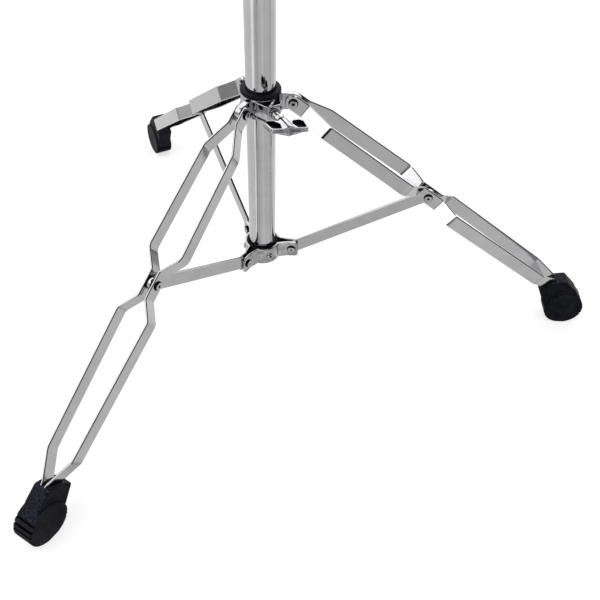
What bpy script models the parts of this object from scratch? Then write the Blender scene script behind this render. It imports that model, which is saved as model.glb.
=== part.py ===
"""Double-braced tripod base of a tom and cymbal stand, in metres, +Z up, standing on z = 0.

The hub slides up the base tube and folds three legs and their braces against it.
The rest pose is the open tripod.
"""

import math

import bmesh
import bpy
from mathutils import Matrix, Vector

# Fit between neighbouring pieces
GAP = 0.0003
PIN_CLEARANCE = 0.0003

# Base tube
TUBE_DIAMETER = 0.0318
TUBE_WALL = 0.0015
TUBE_TOP = 0.520

# Legs: two bent steel strips each, measured along the leg from the hub pivot
LEG_COUNT = 3
LEG_SLOPE = math.radians(35.9)
LEG_LENGTH = 0.438
LEG_PIVOT_TO_MID = 0.196
STRIP_WIDTH = 0.0164
STRIP_THICKNESS = 0.0025
HUB_TAB_LENGTH = 0.0159
HUB_BEND_RUN = 0.030
MID_TAB_ABOVE = 0.0136
MID_TAB_BELOW = 0.0173
MID_BEND_RUN = 0.020
FOOT_TAB_LENGTH = 0.020
FOOT_BEND_RUN = 0.032
FOOT_TAB_INNER = 0.0014
UPPER_BAY_TOP_WIDTH = 0.0382
UPPER_BAY_END_WIDTH = 0.0430
LOWER_BAY_TOP_WIDTH = 0.0414
LOWER_BAY_END_WIDTH = 0.0350
HUB_LUG_THICKNESS = 0.0064

# Braces
BRACE_LENGTH = 0.181
BRACE_WIDTH = 0.0158
BRACE_THICKNESS = 0.003

# Pivots
HUB_PIVOT_RADIUS = 0.0346
LOWER_PIVOT_RADIUS = 0.0365
RIVET_DIAMETER = 0.006
RIVET_HEAD_DIAMETER = 0.0105
RIVET_HEAD_HEIGHT = 0.0022
MID_WASHER_THICKNESS = 0.0014
MID_WASHER_DIAMETER = 0.013

# Leg hub: cast collar on a plastic bush that slides on the tube
BUSH_RUNNING_CLEARANCE = 0.0003
BUSH_WALL = 0.0021
BUSH_FLANGE_DIAMETER = 0.0436
BUSH_FLANGE_HEIGHT = 0.0042
COLLAR_WALL = 0.0027
COLLAR_ABOVE_PIVOT = 0.0098
COLLAR_BELOW_PIVOT = 0.012
COLLAR_BAND_WALL = 0.0017
COLLAR_BAND_HEIGHT = 0.0055
LUG_END_RADIUS = 0.0092
CLAMP_AZIMUTH = math.radians(-60.0)
CLAMP_BLOCK_WIDTH = 0.0145
CLAMP_BLOCK_ABOVE = 0.0090
CLAMP_BLOCK_BELOW = 0.0088
CLAMP_BLOCK_REACH = 0.0325
CLAMP_WALL_SIDE = math.radians(-62.0)
CLAMP_POCKET_FLOOR = 0.0052
CLAMP_POCKET_WALL = 0.0014
CLAMP_BOSS_DIAMETER = 0.0126
CLAMP_BOSS_REACH = 0.0346
WINDOW_AZIMUTH = math.radians(-25.5)
WINDOW_HALF_WIDTH = 0.0060
WINDOW_SILL = 0.0
RECESS_STARTS = (0.0050, 0.0142)
RECESS_ENDS = (0.0102, 0.0188)
RECESS_SILLS = (-0.0012, 0.0036)
RECESS_HEADS = (0.0082, 0.0080)
RECESS_DEPTH = 0.0018

# Wing screw
CLAMP_SCREW_DIAMETER = 0.008
WING_TURN = math.radians(-12.0)
WING_STEM_START = 0.0425
WING_STEM_DIAMETER = 0.0104
WING_BOSS_DIAMETER = 0.0124
WING_BACK = 0.0495
WING_FRONT = 0.0682
WING_SPAN = 0.0470
WING_THICKNESS = 0.0050
WING_RISE = 0.0008
WING_POCKET_DEPTH = 0.0034
WING_RIM = 0.0020
WING_SCREW_DEPTH = 0.010

# Lower hub: sleeve, three pressed plates, and a screw in the middle of each plate
SLEEVE_WALL = 0.0026
SLEEVE_HEIGHT = 0.0196
PLATE_HEIGHT = 0.0224
PLATE_THICKNESS = 0.0025
PLATE_MOUTH = 0.0100
EAR_LENGTH = 0.0080
EAR_FLAT_INSIDE = 0.0048
EAR_CORNER = 0.0040
EAR_CORNER_TURNS = (math.radians(90.0), math.radians(57.0), math.radians(29.0))
PLATE_SCREW_DIAMETER = 0.0045
PLATE_SCREW_HEAD_DIAMETER = 0.0084
PLATE_SCREW_HEAD_HEIGHT = 0.0019
PLATE_SCREW_CROWN = 0.55
PLATE_SCREW_SLOT = 0.16
PLATE_SCREW_REACH_IN = 0.0015

# Rubber feet, drawn in the open pose around the centre of their round pad
FOOT_PAD_RADIUS = 0.0245
FOOT_PAD_WIDTH = 0.024
FOOT_BLOCK_WIDTH = 0.020
FOOT_FLAT_LENGTH = 0.012
FOOT_PAD_PAST_STRIPS = 0.0188
FOOT_PAD_UNDER_LEG = 0.0163
FOOT_SLEEVE_INNER = (-0.0410, 0.0305)
FOOT_SLEEVE_LIP = (-0.0275, 0.0425)
FOOT_SLEEVE_OUTER = (-0.0090, 0.0463)
FOOT_SHOULDER = (0.0080, 0.0300)
FOOT_SIDE_BEVEL = 0.0035
FOOT_SEATS = (math.radians(-2.0), math.radians(-1.0), math.radians(9.0))

ROUND_STEPS = 24
SMALL_ROUND_STEPS = 16
SHARP_ANGLE = math.radians(35.0)
LEG_STEP = 2.0 * math.pi / LEG_COUNT

# Sizes worked out from the driving ones
TUBE_RADIUS = TUBE_DIAMETER / 2
BUSH_BORE_RADIUS = TUBE_RADIUS + BUSH_RUNNING_CLEARANCE
BUSH_RADIUS = BUSH_BORE_RADIUS + BUSH_WALL
COLLAR_BORE_RADIUS = BUSH_RADIUS + GAP
COLLAR_RADIUS = COLLAR_BORE_RADIUS + COLLAR_WALL
SLEEVE_BORE_RADIUS = TUBE_RADIUS + GAP
SLEEVE_RADIUS = SLEEVE_BORE_RADIUS + SLEEVE_WALL
PLATE_INNER_RADIUS = SLEEVE_RADIUS + GAP
TAB_INNER = HUB_LUG_THICKNESS / 2 + GAP
TAB_OUTER = TAB_INNER + STRIP_THICKNESS
EAR_INNER = BRACE_THICKNESS / 2 + GAP
EAR_OUTER = EAR_INNER + PLATE_THICKNESS
PIN_RADIUS = RIVET_DIAMETER / 2
PIN_HOLE_RADIUS = PIN_RADIUS + PIN_CLEARANCE

FOOT_PAD_ALONG_LEG = LEG_LENGTH + FOOT_PAD_PAST_STRIPS
PAD_CENTRE_HEIGHT = math.sqrt(FOOT_PAD_RADIUS ** 2 - (FOOT_FLAT_LENGTH / 2) ** 2)
HUB_PIVOT_HEIGHT = (
    PAD_CENTRE_HEIGHT
    + FOOT_PAD_ALONG_LEG * math.sin(LEG_SLOPE)
    + FOOT_PAD_UNDER_LEG * math.cos(LEG_SLOPE)
)
PAD_CENTRE_RADIUS = (
    HUB_PIVOT_RADIUS
    + FOOT_PAD_ALONG_LEG * math.cos(LEG_SLOPE)
    - FOOT_PAD_UNDER_LEG * math.sin(LEG_SLOPE)
)
MID_PIVOT_RADIUS = HUB_PIVOT_RADIUS + LEG_PIVOT_TO_MID * math.cos(LEG_SLOPE)
MID_PIVOT_HEIGHT = HUB_PIVOT_HEIGHT - LEG_PIVOT_TO_MID * math.sin(LEG_SLOPE)
BRACE_SLOPE = math.acos((MID_PIVOT_RADIUS - LOWER_PIVOT_RADIUS) / BRACE_LENGTH)
LOWER_PIVOT_HEIGHT = MID_PIVOT_HEIGHT - BRACE_LENGTH * math.sin(BRACE_SLOPE)
TUBE_BOTTOM = LOWER_PIVOT_HEIGHT - PLATE_HEIGHT / 2

# The tube stands where the middle of the part's footprint is the origin
FOOT_REACH = PAD_CENTRE_RADIUS + FOOT_PAD_RADIUS
FOOTPRINT_BACK = FOOT_REACH * math.cos(LEG_STEP / 2) + FOOT_PAD_WIDTH / 2 * math.sin(LEG_STEP / 2)
STAND_X = (FOOTPRINT_BACK - FOOT_REACH) / 2


def clear_scene():
    """Removes every object the file opened with."""
    for thing in list(bpy.data.objects):
        bpy.data.objects.remove(thing, do_unlink=True)


def make_material(name, colour, roughness, metallic):
    """Principled material with one colour, roughness and metallic value."""
    material = bpy.data.materials.new(name)
    material.use_nodes = True
    shader = material.node_tree.nodes["Principled BSDF"]
    shader.inputs["Base Color"].default_value = (*colour, 1.0)
    shader.inputs["Roughness"].default_value = roughness
    shader.inputs["Metallic"].default_value = metallic
    return material


def make_empty(name, matrix, parent=None):
    """Empty at a joint or reference point, given its matrix in its parent's frame."""
    empty = bpy.data.objects.new(name, None)
    empty.empty_display_size = 0.02
    bpy.context.scene.collection.objects.link(empty)
    empty.parent = parent
    empty.matrix_local = matrix
    return empty


def add_piece(name, mesh, finish, parent):
    """Names a mesh as one piece of the stand, dresses it and hangs it on its parent."""
    piece = bpy.data.objects.new(name, mesh.copy())
    bpy.context.scene.collection.objects.link(piece)
    piece.data.materials.clear()
    piece.data.materials.append(make_material(name, *finish))
    piece.data.shade_smooth()
    piece.data.set_sharp_from_angle(angle=SHARP_ANGLE)
    piece.parent = parent
    return piece


def mesh_from(name, verts, faces):
    """Closed mesh from corner points and faces, with its faces turned outwards."""
    mesh = bpy.data.meshes.new(name)
    mesh.from_pydata([tuple(v) for v in verts], [], faces)
    body = bmesh.new()
    body.from_mesh(mesh)
    bmesh.ops.recalc_face_normals(body, faces=body.faces)
    body.to_mesh(mesh)
    body.free()
    return mesh


def skin_rings(name, rings):
    """Joins rings of equal point count into a tube with both ends closed."""
    count = len(rings[0])
    verts = [point for ring in rings for point in ring]
    faces = []
    for row in range(len(rings) - 1):
        for step in range(count):
            after = (step + 1) % count
            faces.append((
                row * count + step,
                row * count + after,
                (row + 1) * count + after,
                (row + 1) * count + step,
            ))
    faces.append(tuple(range(count)))
    faces.append(tuple(range((len(rings) - 1) * count, len(rings) * count)))
    return mesh_from(name, verts, faces)


def turned(name, profile, steps, hollow=False):
    """Solid of revolution round Z from (radius, height) points; a hollow one closes on itself."""
    verts = []
    for radius, height in profile:
        for step in range(steps):
            turn = 2.0 * math.pi * step / steps
            verts.append((radius * math.cos(turn), radius * math.sin(turn), height))
    rows = len(profile)
    faces = []
    for row in range(rows if hollow else rows - 1):
        below = (row + 1) % rows
        for step in range(steps):
            after = (step + 1) % steps
            faces.append((
                row * steps + step,
                row * steps + after,
                below * steps + after,
                below * steps + step,
            ))
    if not hollow:
        faces.append(tuple(range(steps)))
        faces.append(tuple(range((rows - 1) * steps, rows * steps)))
    return mesh_from(name, verts, faces)


def prism(name, outline, low, high):
    """Outline of (x, z) points pushed along Y from low to high."""
    rings = [[(x, y, z) for x, z in outline] for y in (low, high)]
    return skin_rings(name, rings)


def offset_path(path, distance):
    """Moves a path of (x, y) points to its left by a distance, with mitred corners."""
    moved = []
    for index, point in enumerate(path):
        here = Vector(point)
        before = here - Vector(path[index - 1]) if index > 0 else Vector(path[1]) - here
        after = Vector(path[index + 1]) - here if index < len(path) - 1 else before
        left_before = Vector((-before.y, before.x)).normalized()
        left_after = Vector((-after.y, after.x)).normalized()
        mitre = (left_before + left_after).normalized()
        moved.append(here + mitre * (distance / mitre.dot(left_before)))
    return moved


def ribbon(name, path, half_widths, left, right):
    """Flat strip along a path in the XY plane, standing up in Z by each point's half width."""
    rings = []
    sides = zip(offset_path(path, left), offset_path(path, right), half_widths)
    for near, far, half in sides:
        rings.append([
            (near.x, near.y, -half),
            (near.x, near.y, half),
            (far.x, far.y, half),
            (far.x, far.y, -half),
        ])
    return skin_rings(name, rings)


def rod(radius, start, end, steps=SMALL_ROUND_STEPS):
    """Round bar between two points."""
    axis = Vector(end) - Vector(start)
    mesh = turned("rod", [(radius, axis.length), (radius, 0.0)], steps)
    turn = axis.to_track_quat("Z", "Y").to_matrix().to_4x4()
    mesh.transform(Matrix.Translation(start) @ turn)
    return mesh


def moved(mesh, matrix):
    """Moves a mesh by a matrix and hands it back."""
    mesh.transform(matrix)
    return mesh


def combine(name, base, added=(), removed=()):
    """Boolean union with the added meshes, then a cut by the removed ones."""
    scene = bpy.context.scene.collection
    body = bpy.data.objects.new(name, base)
    scene.objects.link(body)
    tools = []
    steps = [(mesh, "UNION") for mesh in added] + [(mesh, "DIFFERENCE") for mesh in removed]
    for mesh, operation in steps:
        tool = bpy.data.objects.new("cutter", mesh)
        tool.hide_render = True
        tool.display_type = "WIRE"
        scene.objects.link(tool)
        tools.append(tool)
        boolean = body.modifiers.new(operation.lower(), "BOOLEAN")
        boolean.operation = operation
        boolean.solver = "EXACT"
        boolean.object = tool
    bpy.context.view_layer.update()
    depsgraph = bpy.context.evaluated_depsgraph_get()
    result = bpy.data.meshes.new_from_object(body.evaluated_get(depsgraph))
    for thing in [body] + tools:
        bpy.data.objects.remove(thing, do_unlink=True)
    return result


def round_half_width(half, radius, beyond):
    """Half width of a strip whose end corners are rounded, a distance beyond the start of the curve."""
    return half - radius + math.sqrt(max(radius ** 2 - beyond ** 2, 0.0))


def rounded_end(half, steps=5):
    """Distances from an end's pivot, outermost first, and the strip's half width at each."""
    turns = [math.pi / 2 * step / (steps + 0.5) for step in range(steps, 0, -1)]
    return [(half * math.sin(turn), half * math.cos(turn)) for turn in turns]


def steel():
    """Chromed steel strip, tube and fasteners."""
    return (0.62, 0.63, 0.64), 0.12, 1.0


def casting():
    """Chromed zinc casting."""
    return (0.58, 0.59, 0.60), 0.18, 1.0


def plastic():
    """Black plastic of the bush and washers."""
    return (0.012, 0.012, 0.014), 0.45, 0.0


def rubber():
    """Black rubber of the feet."""
    return (0.018, 0.018, 0.021), 0.65, 0.0


def base_tube_mesh():
    """Open tube with three screw holes at its lower hub, heights from the floor."""
    bore = TUBE_RADIUS - TUBE_WALL
    wall = [(bore, TUBE_BOTTOM), (bore, TUBE_TOP), (TUBE_RADIUS, TUBE_TOP), (TUBE_RADIUS, TUBE_BOTTOM)]
    tube = turned("base_tube", wall, 2 * ROUND_STEPS, hollow=True)
    return combine("base_tube", tube, removed=screw_holes(TUBE_RADIUS - 2 * TUBE_WALL, TUBE_RADIUS + TUBE_WALL))


def screw_holes(inner, outer):
    """Cutters for the three plate screws between two radii, heights from the floor."""
    radius = PLATE_SCREW_DIAMETER / 2 + PIN_CLEARANCE
    cutters = []
    for index in range(LEG_COUNT):
        turn = (index + 0.5) * LEG_STEP
        way = Vector((math.cos(turn), math.sin(turn), 0.0))
        up = Vector((0.0, 0.0, LOWER_PIVOT_HEIGHT))
        cutters.append(rod(radius, up + way * inner, up + way * outer))
    return cutters


def sleeve_mesh():
    """Spacer sleeve between the tube and the three plates."""
    low = LOWER_PIVOT_HEIGHT - SLEEVE_HEIGHT / 2
    high = LOWER_PIVOT_HEIGHT + SLEEVE_HEIGHT / 2
    wall = [(SLEEVE_BORE_RADIUS, low), (SLEEVE_BORE_RADIUS, high), (SLEEVE_RADIUS, high), (SLEEVE_RADIUS, low)]
    sleeve = turned("sleeve", wall, 2 * ROUND_STEPS, hollow=True)
    return combine("sleeve", sleeve, removed=screw_holes(TUBE_RADIUS - TUBE_WALL, SLEEVE_RADIUS + TUBE_WALL))


def plate_path():
    """Inner face of a plate seen from above, from one ear's tip to the other's, round its middle (+X)."""
    leg_turn = Matrix.Rotation(-LEG_STEP / 2, 2)
    tip = LOWER_PIVOT_RADIUS + EAR_LENGTH
    corners = [(tip - EAR_CORNER * (1.0 - math.sin(turn)), EAR_INNER, turn)
               for turn in EAR_CORNER_TURNS]
    mouth = math.asin(PLATE_MOUTH / 2 / PLATE_INNER_RADIUS)
    ear = [(Vector((x, y)), EAR_CORNER * math.sin(turn)) for x, y, turn in corners]
    ear.append((Vector((tip - EAR_CORNER, EAR_INNER)), 0.0))
    ear.append((Vector((LOWER_PIVOT_RADIUS - EAR_FLAT_INSIDE, EAR_INNER)), 0.0))
    half = [(leg_turn @ point, beyond) for point, beyond in ear]
    start = -LEG_STEP / 2 + mouth
    arc = [
        (Vector((math.cos(turn), math.sin(turn))) * PLATE_INNER_RADIUS, 0.0)
        for turn in (start + (0.0 - start) * step / 5 for step in range(6))
    ]
    half += arc
    mirrored = [(Vector((point.x, -point.y)), beyond) for point, beyond in reversed(half[:-1])]
    return half + mirrored


def plate_mesh():
    """Pressed plate round a third of the tube, in its own frame with the plate's middle on +X."""
    path = plate_path()
    widths = [round_half_width(PLATE_HEIGHT / 2, EAR_CORNER, beyond) for _, beyond in path]
    plate = ribbon("plate", [point for point, _ in path], widths, 0.0, -PLATE_THICKNESS)
    outside = PLATE_INNER_RADIUS + 2 * PLATE_THICKNESS
    holes = [rod(PLATE_SCREW_DIAMETER / 2 + PIN_CLEARANCE, (TUBE_RADIUS, 0, 0), (outside, 0, 0))]
    for side in (1.0, -1.0):
        turn = side * LEG_STEP / 2
        along = Vector((math.cos(turn), math.sin(turn), 0.0))
        across = Vector((-math.sin(turn), math.cos(turn), 0.0))
        pivot = along * LOWER_PIVOT_RADIUS
        reach = across * (EAR_OUTER + PLATE_THICKNESS)
        holes.append(rod(PIN_HOLE_RADIUS, pivot, pivot - reach * side))
    return combine("plate", plate, removed=holes)


def plate_screw_mesh():
    """Pan-head screw along +X with a cross recess, origin on the tube's axis."""
    seat = PLATE_INNER_RADIUS + PLATE_THICKNESS + GAP
    head = PLATE_SCREW_HEAD_DIAMETER / 2
    tall = PLATE_SCREW_HEAD_HEIGHT
    profile = [
        (head * PLATE_SCREW_CROWN, seat + tall),
        (head * 0.85, seat + tall * 0.75),
        (head, seat + tall * 0.3),
        (head, seat),
        (PLATE_SCREW_DIAMETER / 2, seat),
        (PLATE_SCREW_DIAMETER / 2, TUBE_RADIUS - TUBE_WALL - PLATE_SCREW_REACH_IN),
    ]
    screw = moved(turned("plate_screw", profile, SMALL_ROUND_STEPS), Matrix.Rotation(math.pi / 2, 4, "Y"))
    slot = head * PLATE_SCREW_SLOT
    cutters = []
    for turn in (0.0, math.pi / 2):
        blade = prism("slot", [(seat + tall * 0.45, -slot), (seat + 2 * tall, -slot),
                               (seat + 2 * tall, slot), (seat + tall * 0.45, slot)], -head * 0.6, head * 0.6)
        cutters.append(moved(blade, Matrix.Rotation(turn, 4, "X")))
    return combine("plate_screw", screw, removed=cutters)


def rivet_profile(inner, outer):
    """Domed head and its shank on +Z: the shank starts at inner, the head sits on outer."""
    head = RIVET_HEAD_DIAMETER / 2
    tall = RIVET_HEAD_HEIGHT
    return [
        (head * 0.35, outer + tall),
        (head * 0.72, outer + tall * 0.82),
        (head * 0.93, outer + tall * 0.45),
        (head, outer + tall * 0.1),
        (head, outer),
        (PIN_RADIUS, outer),
        (PIN_RADIUS, inner),
    ]


def rivet_mesh(outer):
    """Rivet along Y with a domed head against each outer face."""
    above = rivet_profile(0.0, outer + GAP)
    below = [(radius, -height) for radius, height in reversed(above[:-1])]
    rivet = turned("rivet", above[:-1] + below, SMALL_ROUND_STEPS)
    return moved(rivet, Matrix.Rotation(math.pi / 2, 4, "X"))


def half_rivet_mesh(inner, outer, side):
    """One end of a rivet along Y: the brace's slot between the two ends stays open."""
    rivet = turned("half_rivet", rivet_profile(inner, outer + GAP), SMALL_ROUND_STEPS)
    return moved(rivet, Matrix.Rotation(-side * math.pi / 2, 4, "X"))


def washer_mesh(inner, outer, side):
    """Flat washer along Y, on one side of the brace."""
    bore = PIN_HOLE_RADIUS
    rim = MID_WASHER_DIAMETER / 2
    washer = turned("washer", [(bore, inner), (bore, outer), (rim, outer), (rim, inner)],
                    SMALL_ROUND_STEPS, hollow=True)
    return moved(washer, Matrix.Rotation(-side * math.pi / 2, 4, "X"))


def strip_path():
    """Inner face of a leg's +Y strip, along +X from the hub pivot, and its half width at each point."""
    half = STRIP_WIDTH / 2
    mid_start = LEG_PIVOT_TO_MID - MID_TAB_ABOVE
    mid_end = LEG_PIVOT_TO_MID + MID_TAB_BELOW
    foot_start = LEG_LENGTH - FOOT_TAB_LENGTH
    widths = (UPPER_BAY_TOP_WIDTH, UPPER_BAY_END_WIDTH, LOWER_BAY_TOP_WIDTH, LOWER_BAY_END_WIDTH)
    upper_top, upper_end, lower_top, lower_end = [width / 2 - STRIP_THICKNESS for width in widths]
    path = [((-back, TAB_INNER), width) for back, width in rounded_end(half)]
    path.append(((0.0, TAB_INNER), half))
    bends = [
        (HUB_TAB_LENGTH, TAB_INNER),
        (HUB_TAB_LENGTH + HUB_BEND_RUN, upper_top),
        (mid_start - MID_BEND_RUN, upper_end),
        (mid_start, TAB_INNER),
        (mid_end, TAB_INNER),
        (mid_end + MID_BEND_RUN, lower_top),
        (foot_start - FOOT_BEND_RUN, lower_end),
        (foot_start, FOOT_TAB_INNER),
        (LEG_LENGTH, FOOT_TAB_INNER),
    ]
    return path + [(bend, half) for bend in bends]


def strip_mesh(side):
    """One strip of a leg in the leg's frame: X along the leg, Z across the strip's width."""
    path = strip_path()
    strip = ribbon("strip", [point for point, _ in path], [width for _, width in path], 0.0, STRIP_THICKNESS)
    holes = [
        rod(PIN_HOLE_RADIUS, (along, 0.0, 0.0), (along, UPPER_BAY_END_WIDTH, 0.0))
        for along in (0.0, LEG_PIVOT_TO_MID)
    ]
    strip = combine("strip", strip, removed=holes)
    if side < 0:
        strip = moved(strip, Matrix.Scale(-1.0, 4, (0.0, 1.0, 0.0)))
        strip.flip_normals()
    return strip


def brace_mesh():
    """Flat brace along +X from its lower pivot, with a rounded end and a hole at both pivots."""
    half = BRACE_WIDTH / 2
    ends = rounded_end(half)
    path = [((-back, 0.0), width) for back, width in ends]
    path += [((0.0, 0.0), half), ((BRACE_LENGTH, 0.0), half)]
    path += [((BRACE_LENGTH + ahead, 0.0), width) for ahead, width in reversed(ends)]
    brace = ribbon("brace", [point for point, _ in path], [width for _, width in path],
                   BRACE_THICKNESS / 2, -BRACE_THICKNESS / 2)
    holes = [
        rod(PIN_HOLE_RADIUS, (along, -BRACE_THICKNESS, 0.0), (along, BRACE_THICKNESS, 0.0))
        for along in (0.0, BRACE_LENGTH)
    ]
    return combine("brace", brace, removed=holes)


def bush_mesh():
    """Plastic bush inside the collar, with a thick flange on top, heights from the hub pivot."""
    top = COLLAR_ABOVE_PIVOT + GAP
    flange = BUSH_FLANGE_DIAMETER / 2
    soft = BUSH_FLANGE_HEIGHT * 0.3
    profile = [
        (BUSH_BORE_RADIUS, -COLLAR_BELOW_PIVOT),
        (BUSH_BORE_RADIUS, top + BUSH_FLANGE_HEIGHT),
        (flange - soft, top + BUSH_FLANGE_HEIGHT),
        (flange, top + BUSH_FLANGE_HEIGHT - soft),
        (flange, top),
        (BUSH_RADIUS, top),
        (BUSH_RADIUS, -COLLAR_BELOW_PIVOT),
    ]
    return turned("bush", profile, 2 * ROUND_STEPS, hollow=True)


def hub_lug(turn):
    """Lug for one leg, from inside the collar's wall to a rounded end past the pivot."""
    root = COLLAR_BORE_RADIUS + COLLAR_WALL / 2
    outline = [(root, -COLLAR_BELOW_PIVOT + GAP), (HUB_PIVOT_RADIUS - LUG_END_RADIUS, -LUG_END_RADIUS)]
    steps = 10
    for step in range(steps + 1):
        angle = -math.pi / 2 + math.pi * step / steps
        outline.append((
            HUB_PIVOT_RADIUS + LUG_END_RADIUS * math.cos(angle),
            LUG_END_RADIUS * math.sin(angle),
        ))
    outline.append((root, COLLAR_ABOVE_PIVOT - GAP))
    lug = prism("lug", outline, -HUB_LUG_THICKNESS / 2, HUB_LUG_THICKNESS / 2)
    return moved(lug, Matrix.Rotation(turn, 4, "Z"))


def box_mesh(low, high):
    """Box between two corners."""
    outline = [(low[0], low[2]), (high[0], low[2]), (high[0], high[2]), (low[0], high[2])]
    return prism("box", outline, low[1], high[1])


def hub_mesh():
    """Cast collar with three lugs and a clamp block, heights from the hub pivot."""
    collar = turned("hub", [
        (COLLAR_BORE_RADIUS, -COLLAR_BELOW_PIVOT),
        (COLLAR_BORE_RADIUS, COLLAR_ABOVE_PIVOT),
        (COLLAR_RADIUS, COLLAR_ABOVE_PIVOT),
        (COLLAR_RADIUS, -COLLAR_BELOW_PIVOT + COLLAR_BAND_HEIGHT + COLLAR_BAND_WALL),
        (COLLAR_RADIUS + COLLAR_BAND_WALL, -COLLAR_BELOW_PIVOT + COLLAR_BAND_HEIGHT),
        (COLLAR_RADIUS + COLLAR_BAND_WALL, -COLLAR_BELOW_PIVOT),
    ], 2 * ROUND_STEPS, hollow=True)
    root = COLLAR_BORE_RADIUS + COLLAR_WALL / 2
    face_on = Matrix.Rotation(CLAMP_AZIMUTH, 4, "Z")
    block = clamp_block(root)
    boss = rod(CLAMP_BOSS_DIAMETER / 2, (root, 0.0, 0.0), (CLAMP_BOSS_REACH, 0.0, 0.0), ROUND_STEPS)
    added = [hub_lug(index * LEG_STEP) for index in range(LEG_COUNT)]
    added += [moved(block, face_on), moved(boss, face_on)]
    removed = []
    for index in range(LEG_COUNT):
        turn = Matrix.Rotation(index * LEG_STEP, 4, "Z")
        hole = rod(PIN_HOLE_RADIUS, (HUB_PIVOT_RADIUS, -HUB_LUG_THICKNESS, 0.0),
                   (HUB_PIVOT_RADIUS, HUB_LUG_THICKNESS, 0.0))
        removed.append(moved(hole, turn))
    bore = rod(CLAMP_SCREW_DIAMETER / 2 + PIN_CLEARANCE, (BUSH_BORE_RADIUS, 0.0, 0.0),
               (CLAMP_BOSS_REACH + CLAMP_BOSS_DIAMETER, 0.0, 0.0))
    removed.append(moved(bore, face_on))
    removed += hub_recesses()
    return combine("hub", collar, added, removed)


def upright_prism(name, outline, low, high):
    """Plan outline of (x, y) points pushed up from low to high."""
    return skin_rings(name, [[(x, y, height) for x, y in outline] for height in (low, high)])


def clamp_block(root):
    """Clamp block along +X: its left wall runs straight off the collar, its top has an open pocket."""
    half = CLAMP_BLOCK_WIDTH / 2
    touch = (COLLAR_RADIUS - GAP) * Vector((math.cos(CLAMP_WALL_SIDE), math.sin(CLAMP_WALL_SIDE)))
    outline = [
        (touch.x, touch.y),
        (CLAMP_BLOCK_REACH, -half),
        (CLAMP_BLOCK_REACH, half),
        (root * math.cos(half / root), half),
    ]
    block = upright_prism("block", outline, -CLAMP_BLOCK_BELOW, CLAMP_BLOCK_ABOVE)
    front = CLAMP_BLOCK_REACH - CLAMP_POCKET_WALL
    pocket = upright_prism("pocket", [
        (front, CLAMP_POCKET_WALL - half),
        (front, 2 * half),
        (BUSH_RADIUS, 2 * half),
        (BUSH_RADIUS, half),
    ], CLAMP_POCKET_FLOOR, 2 * CLAMP_BLOCK_ABOVE)
    inside = rod(root, (0.0, 0.0, -2 * CLAMP_BLOCK_BELOW), (0.0, 0.0, 2 * CLAMP_BLOCK_ABOVE), 2 * ROUND_STEPS)
    return combine("block", block, removed=[inside, pocket])


def hub_recesses():
    """Cutters for the window that shows the bush and for two shallow recesses in the block's left wall."""
    outside = COLLAR_RADIUS + COLLAR_WALL
    window = box_mesh(
        (TUBE_RADIUS, -WINDOW_HALF_WIDTH, WINDOW_SILL),
        (outside, WINDOW_HALF_WIDTH, 2 * COLLAR_ABOVE_PIVOT),
    )
    cutters = [moved(window, Matrix.Rotation(WINDOW_AZIMUTH, 4, "Z"))]
    face_left = Matrix.Rotation(CLAMP_AZIMUTH + CLAMP_WALL_SIDE, 4, "Z")
    for start, end, sill, head in zip(RECESS_STARTS, RECESS_ENDS, RECESS_SILLS, RECESS_HEADS):
        recess = box_mesh((COLLAR_RADIUS - RECESS_DEPTH, start, sill), (outside, end, head))
        cutters.append(moved(recess, face_left.copy()))
    return cutters


def clamp_screw_mesh():
    """Clamp screw along +X from the bush to its seat in the wing grip."""
    tip = BUSH_RADIUS + GAP
    radius = CLAMP_SCREW_DIAMETER / 2
    profile = [
        (radius, WING_STEM_START + WING_SCREW_DEPTH),
        (radius, tip + radius / 4),
        (radius * 0.75, tip),
    ]
    screw = turned("clamp_screw", profile, SMALL_ROUND_STEPS)
    return moved(screw, Matrix.Rotation(math.pi / 2, 4, "Y"))


def wing_outline(rim):
    """One wing in plan, (along the screw, across) points; a rim leaves only its pocket."""
    reach = WING_SPAN / 2
    depth = WING_FRONT - WING_BACK
    corners = [(0.22, 0.0), (0.06, 0.40), (0.0, 0.86), (0.20, 1.0), (0.92, 0.93), (1.0, 0.84), (1.0, 0.0)]
    if rim > 0.0:
        corners = [(0.30, 0.34), (0.06, 0.52), (0.0, 0.86), (0.20, 1.0), (0.92, 0.93), (1.0, 0.84), (1.0, 0.44)]
    inner = Vector((WING_BACK + rim, 0.0))
    scale = Vector((depth - 2 * rim, reach - rim))
    return [(inner.x + along * scale.x, across * scale.y) for along, across in corners]


def wing_plate(side, low, high, rim):
    """One wing as a plate between two heights; the two wings mirror each other across the screw."""
    outline = [(along, side * across) for along, across in wing_outline(rim)]
    return upright_prism("wing", outline, low, high)


def wing_grip_mesh():
    """Cast wing grip along +X: stem, boss and two pocketed wings."""
    stem = WING_STEM_DIAMETER / 2
    boss = WING_BOSS_DIAMETER / 2
    low = WING_RISE - WING_THICKNESS / 2
    high = WING_RISE + WING_THICKNESS / 2
    profile = [
        (boss * 0.9, WING_FRONT),
        (boss, WING_FRONT - WING_RIM),
        (boss, WING_BACK + WING_RIM),
        (stem, WING_BACK - WING_RIM),
        (stem, WING_STEM_START),
    ]
    grip = moved(turned("wing_grip", profile, ROUND_STEPS), Matrix.Rotation(math.pi / 2, 4, "Y"))
    wings = [wing_plate(side, low, high, 0.0) for side in (1, -1)]
    pockets = [wing_plate(side, high - WING_POCKET_DEPTH, high + WING_POCKET_DEPTH, WING_RIM) for side in (1, -1)]
    seat = rod(CLAMP_SCREW_DIAMETER / 2 + GAP, (WING_STEM_START - GAP, 0.0, 0.0),
               (WING_STEM_START + WING_SCREW_DEPTH + GAP, 0.0, 0.0))
    return combine("wing_grip", grip, wings, pockets + [seat])


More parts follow.
